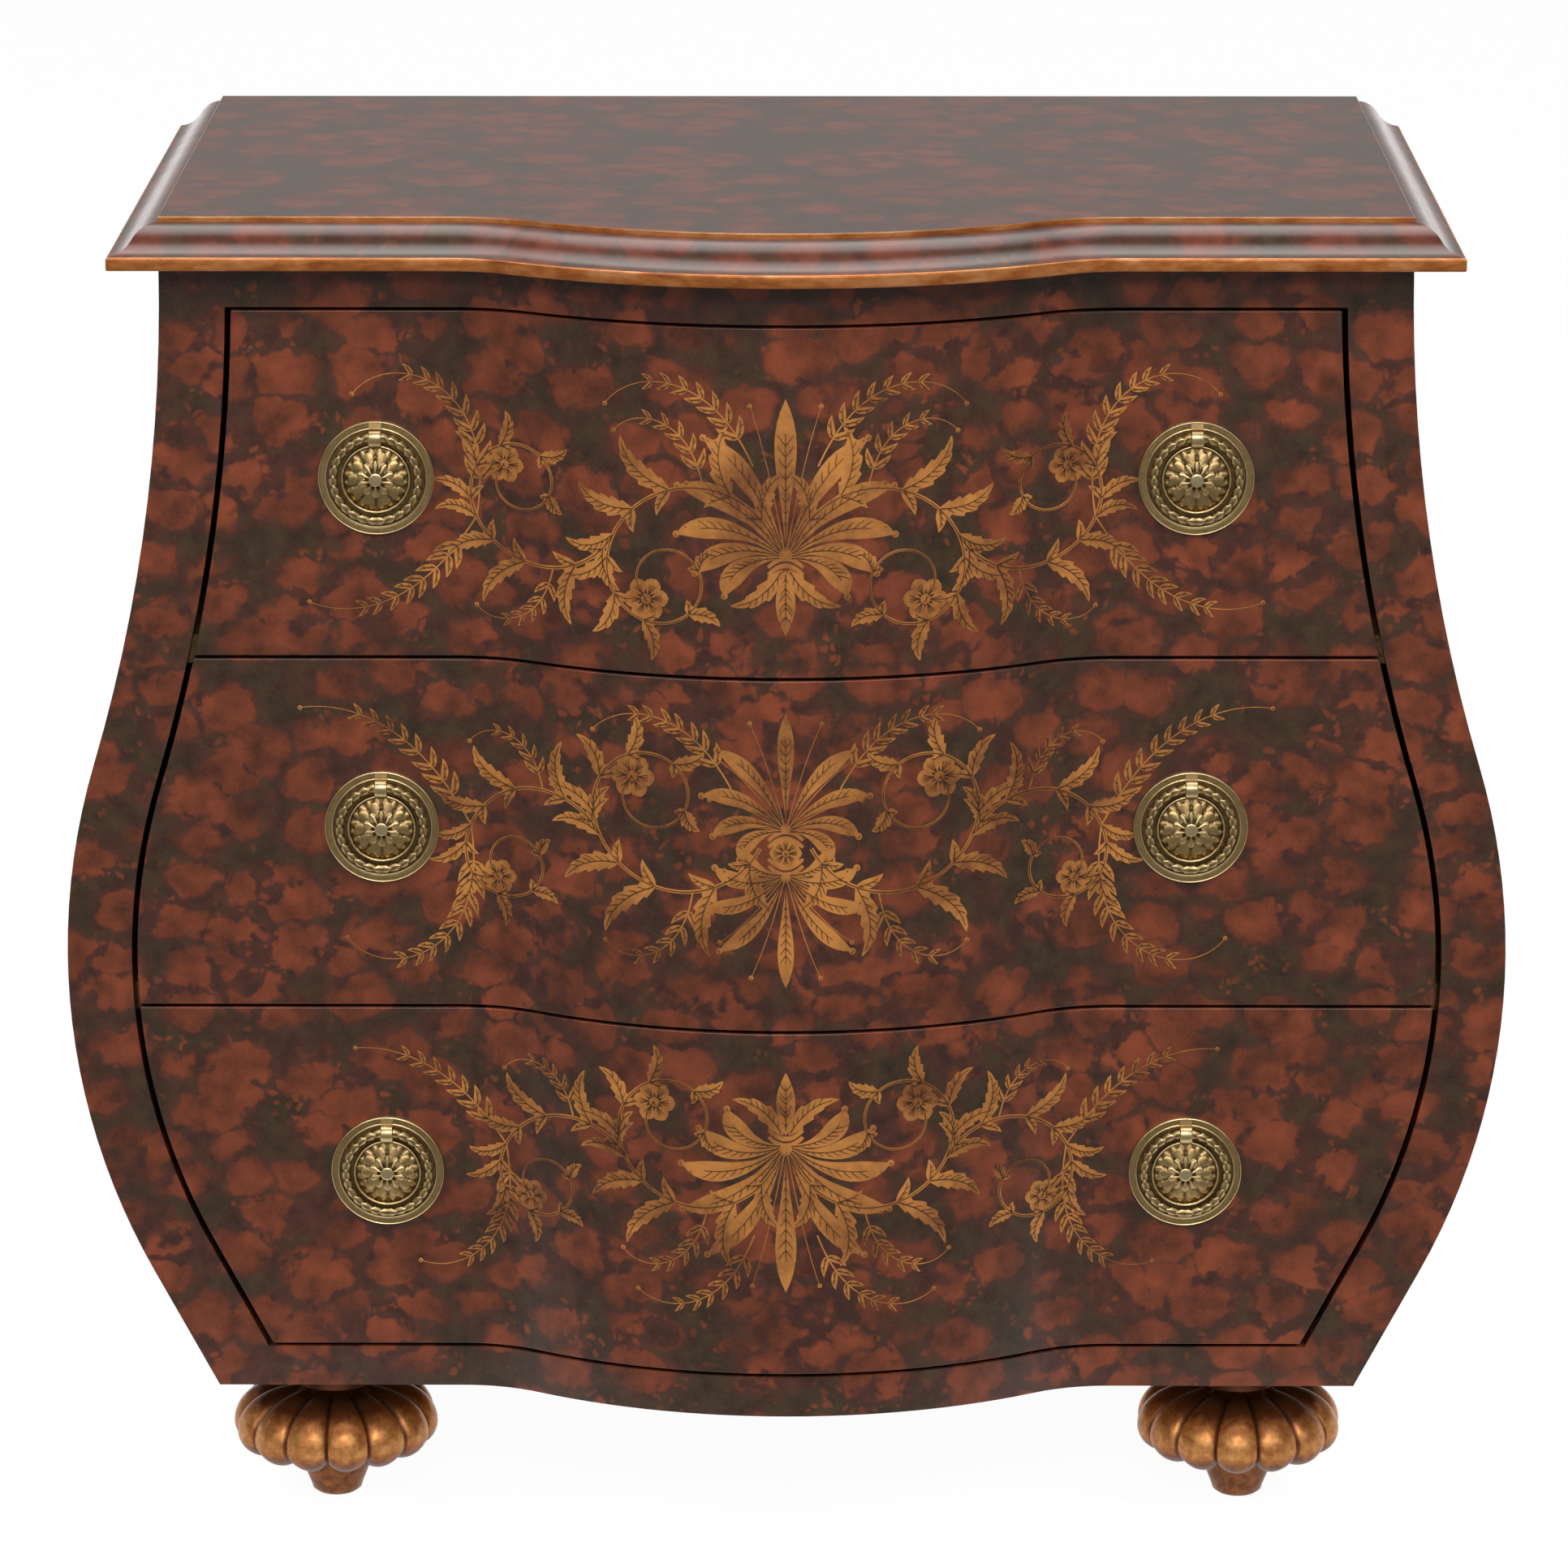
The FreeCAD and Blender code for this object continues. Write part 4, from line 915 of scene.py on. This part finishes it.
def folded_straps(word, centres, depth):
    """Both straps of one drawer: a band folded round the ring, and its stem up to the rim, darkened as
    painted shade.
    """
    points, faces, relief_and_shade = [], [], []
    for x, z in centres:
        fold = []
        for across, ease in STRAP_SECTION:
            outline = [(FOLD_OUTER - ease, 150 - 12.5 * step) for step in range(25)]
            outline += [(FOLD_INNER, -150 + 12.5 * step) for step in range(25)]
            row = []
            for radius, degrees in outline:
                turn = math.radians(degrees)
                row.append((x + across, FRONT / MM - depth - radius * math.cos(turn),
                            z + RING_RADIUS - FOLD_DROP + FOLD_STRETCH * radius * math.sin(turn)))
            fold.append(row)
        stem = [[(x + across, FRONT / MM - out, z + up) for up, out in STEM_SECTION]
                for across in (-STEM_HALF_WIDTH, STEM_HALF_WIDTH)]
        # the stem gets a lower value than the fold: painted shade on it up to the rim
        for band, wear_and_shade in ((fold, 0.55), (stem, 0.3)):
            more, skin = net(band)
            count = len(band[0])
            skin.append(tuple(reversed(range(count))))
            skin.append(tuple(len(more) - count + corner for corner in range(count)))
            faces += [tuple(corner + len(points) for corner in face) for face in skin]
            points += more
            relief_and_shade += [wear_and_shade] * len(more)
    straps = smooth_piece(f"{word}_folded_straps", points, faces, [brass], crease=50, wear_and_shade=relief_and_shade)
    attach(straps, f"{word}_drawer")
    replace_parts(straps, f"{word}_ring_straps")


brass = antique_brass()
for word in DRAWERS:
    centres = []
    for hand in ("left", "right"):
        low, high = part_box(f"{word}_{hand}_ring")
        middle = (low + high) / 2 / MM
        centres.append((middle.x, middle.z))
        ring = laurel_ring(f"{word}_{hand}_laurel_ring", middle.x, middle.z, middle.y)
        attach(ring, f"{word}_{hand}_ring_body")
        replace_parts(ring, f"{word}_{hand}_ring")
    pull_plates(word, centres)
    folded_straps(word, centres, FRONT / MM - middle.y)
    dress(f"{word}_pull_posts", brass)

# ---------------------------------------------------------------- inside the case
# The back, bottom, dust rails, runners, guides and kickers are sawn and planed softwood, glued and
# nailed; the drawer boxes are planed poplar. Cut nails and bolts are zinc-plated steel, and a small
# nylon glide is pressed under each foot.
softwood = grained_wood("sawn_pine", "#b8935f", "#8f6b42", ring=12)
for node in ("back_panel", "bottom_board", "bottom_runners", "drawer_guides", "lower_divider_rail",
             "upper_divider_rail", "lower_runners", "upper_runners", "rear_rails", "rear_top_rail",
             "top_cleats", "top_kickers"):
    dress(node, softwood)
for word in DRAWERS:
    for part in ("left_side", "right_side", "back", "bottom"):
        dress(f"{word}_drawer_{part}", drawer_wood)


def fine_surface(name, colour, darker, metallic, roughness, grain):
    """A small hard part: zinc on steel or moulded nylon, with a fine uneven surface grain mm across."""
    material, tree = new_material(name)
    place = add(tree, "TexCoord").outputs["Object"]
    grit = add(tree, "TexNoise", {"Vector": place, "Scale": 1 / (grain * MM), "Detail": 3.0})
    shade = add(tree, "ValToRGB", {"Fac": grit}, ((0.3, srgb(darker)), (0.7, srgb(colour))))
    shader = add(tree, "BsdfPrincipled", {"Base Color": shade, "Metallic": metallic,
                                          "Roughness": roughness})
    add(tree, "OutputMaterial", {"Surface": shader})
    return material


steel = fine_surface("zinc_plated_steel", "#b4b4b2", "#8d8d8b", 1.0, 0.4, 1.5)
for node in ("back_nails", "foot_bolts"):
    dress(node, steel)
dress("foot_glides", fine_surface("moulded_nylon", "#dedbd2", "#cfcbc0", 0.0, 0.5, 2.0))

# ---------------------------------------------------------------- floor, light and camera
# The chest stands on a pale seamless floor, under soft studio boxes, and is seen from in front and a
# little above.
WHITE = srgb("#ffffff")
PAPER_FRONT, PAPER_END, PAPER_SIDE = -0.42, 14, 9
floor_mesh = bpy.data.meshes.new("seamless_floor")
floor_mesh.from_pydata([(-PAPER_SIDE, PAPER_FRONT, 0), (PAPER_SIDE, PAPER_FRONT, 0),
                        (PAPER_SIDE, PAPER_END, 0), (-PAPER_SIDE, PAPER_END, 0)], [], [(0, 1, 2, 3)])
floor = bpy.data.objects.new("seamless_floor", floor_mesh)
bpy.context.scene.collection.objects.link(floor)
# matt paper, faintly clouded every 0.4 m: it takes the chest's shadow and is else seen as white
paper, paper_tree = new_material("seamless_paper")
fibre = add(paper_tree, "TexNoise", {"Scale": 40.0})
paper_colour = add(paper_tree, "ValToRGB", {"Fac": fibre}, ((0.3, srgb("#eeeeee")), (0.7, srgb("#f0f0f0"))))
matt = add(paper_tree, "BsdfDiffuse", {"Color": paper_colour})
lit = add(paper_tree, "Emission", {"Color": WHITE, "Strength": 1.07})
seen = add(paper_tree, "LightPath").outputs
direct = add(paper_tree, "Math", {0: seen["Is Camera Ray"], 1: seen["Is Glossy Ray"]}, operation="MAXIMUM")
share = add(paper_tree, "Math", {0: direct, 1: 0.9}, operation="MULTIPLY")
paper_mix = add(paper_tree, "MixShader", {0: share, 1: matt, 2: lit})
add(paper_tree, "OutputMaterial", {"Surface": paper_mix})
floor_mesh.materials.append(paper)
floor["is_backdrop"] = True

world = bpy.data.worlds.new("studio")
bpy.context.scene.world = world
world.use_nodes = True
sky = world.node_tree
sky.nodes.clear()
# What shines in the lacquer is a white sweep low behind the chest, dimmer above it and in front. The
# mouldings mirror a white ceiling card, and the feet and the brass a long low card in front. Each is
# made of ramps along one axis of the ray's direction, which give the light at their two ends.
toward = add(sky, "SeparateXYZ", {"Vector": add(sky, "TexCoord").outputs["Generated"]})
ramps = {}
for name, axis, start, end, at_start, at_end in (
        ("sweep_depth", "Y", -0.25, 0.3, 0.09, 1.0),
        ("sweep_height", "Z", 0.0, 0.07, 3.0, 0.39),
        ("ceiling_height", "Z", 0.74, 0.88, 0.0, 4.4),
        ("ceiling_depth", "Y", -0.42, -0.2, 0.0, 1.0),
        ("front_bottom", "Z", 0.16, 0.26, 0.0, 1.0),
        ("front_top", "Z", 0.54, 0.68, 2.3, 0.0),
        ("front_depth", "Y", -0.75, -0.55, 1.0, 0.0)):
    ramps[name] = add(sky, "MapRange", {"Value": toward.outputs[axis], "From Min": start, "From Max": end,
                                        "To Min": at_start, "To Max": at_end})
glow = add(sky, "Math", {0: ramps["sweep_depth"], 1: ramps["sweep_height"]}, operation="MULTIPLY")
glow = add(sky, "Math", {0: ramps["ceiling_height"], 1: ramps["ceiling_depth"], 2: glow},
           operation="MULTIPLY_ADD")
front_card = add(sky, "Math", {0: ramps["front_bottom"], 1: ramps["front_top"]}, operation="MULTIPLY")
glow = add(sky, "Math", {0: front_card, 1: ramps["front_depth"], 2: glow}, operation="MULTIPLY_ADD")
room = add(sky, "Background", {"Color": WHITE, "Strength": 0.24})
mirrored = add(sky, "Background", {"Color": WHITE, "Strength": glow})
white = add(sky, "Background", {"Color": WHITE, "Strength": 1.0})
ray = add(sky, "LightPath").outputs
shiny = add(sky, "MixShader", {0: ray["Is Glossy Ray"], 1: room, 2: mirrored})
backdrop = add(sky, "MixShader", {0: ray["Is Camera Ray"], 1: shiny, 2: white})
add(sky, "OutputWorld", {"Surface": backdrop})

AIM = Vector((0, 0, 0.45))
for name, place, width, height, watts in (
        ("overhead_box", (0.0, 0.5, 3.1), 2.8, 1.4, 8),
        ("front_box", (0.0, -3.6, 2.6), 1.4, 0.8, 38),
        ("left_box", (-2.3, -1.9, 3.1), 1.0, 1.4, 62),
        ("right_box", (2.3, -1.9, 3.1), 1.0, 1.4, 80)):
    lamp = bpy.data.lights.new(name, "AREA")
    lamp.shape = "RECTANGLE"
    lamp.size, lamp.size_y = width, height
    lamp.energy = watts
    box = bpy.data.objects.new(name, lamp)
    box.location = place
    box.rotation_euler = (AIM - Vector(place)).to_track_quat("-Z", "Y").to_euler()
    box.visible_glossy = name not in ("left_box", "right_box")
    bpy.context.scene.collection.objects.link(box)

camera_data = bpy.data.cameras.new("camera")
camera_data.sensor_width = 36
camera_data.lens = 151.1
camera = bpy.data.objects.new("camera", camera_data)
camera.location = (0.0199, -4.1985, 1.594)
camera.rotation_euler = (math.radians(90 - 15.24), 0.0004, 0.0052)
bpy.context.scene.collection.objects.link(camera)
bpy.context.scene.camera = camera
bpy.context.scene.view_settings.view_transform = "Standard"

low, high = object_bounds()
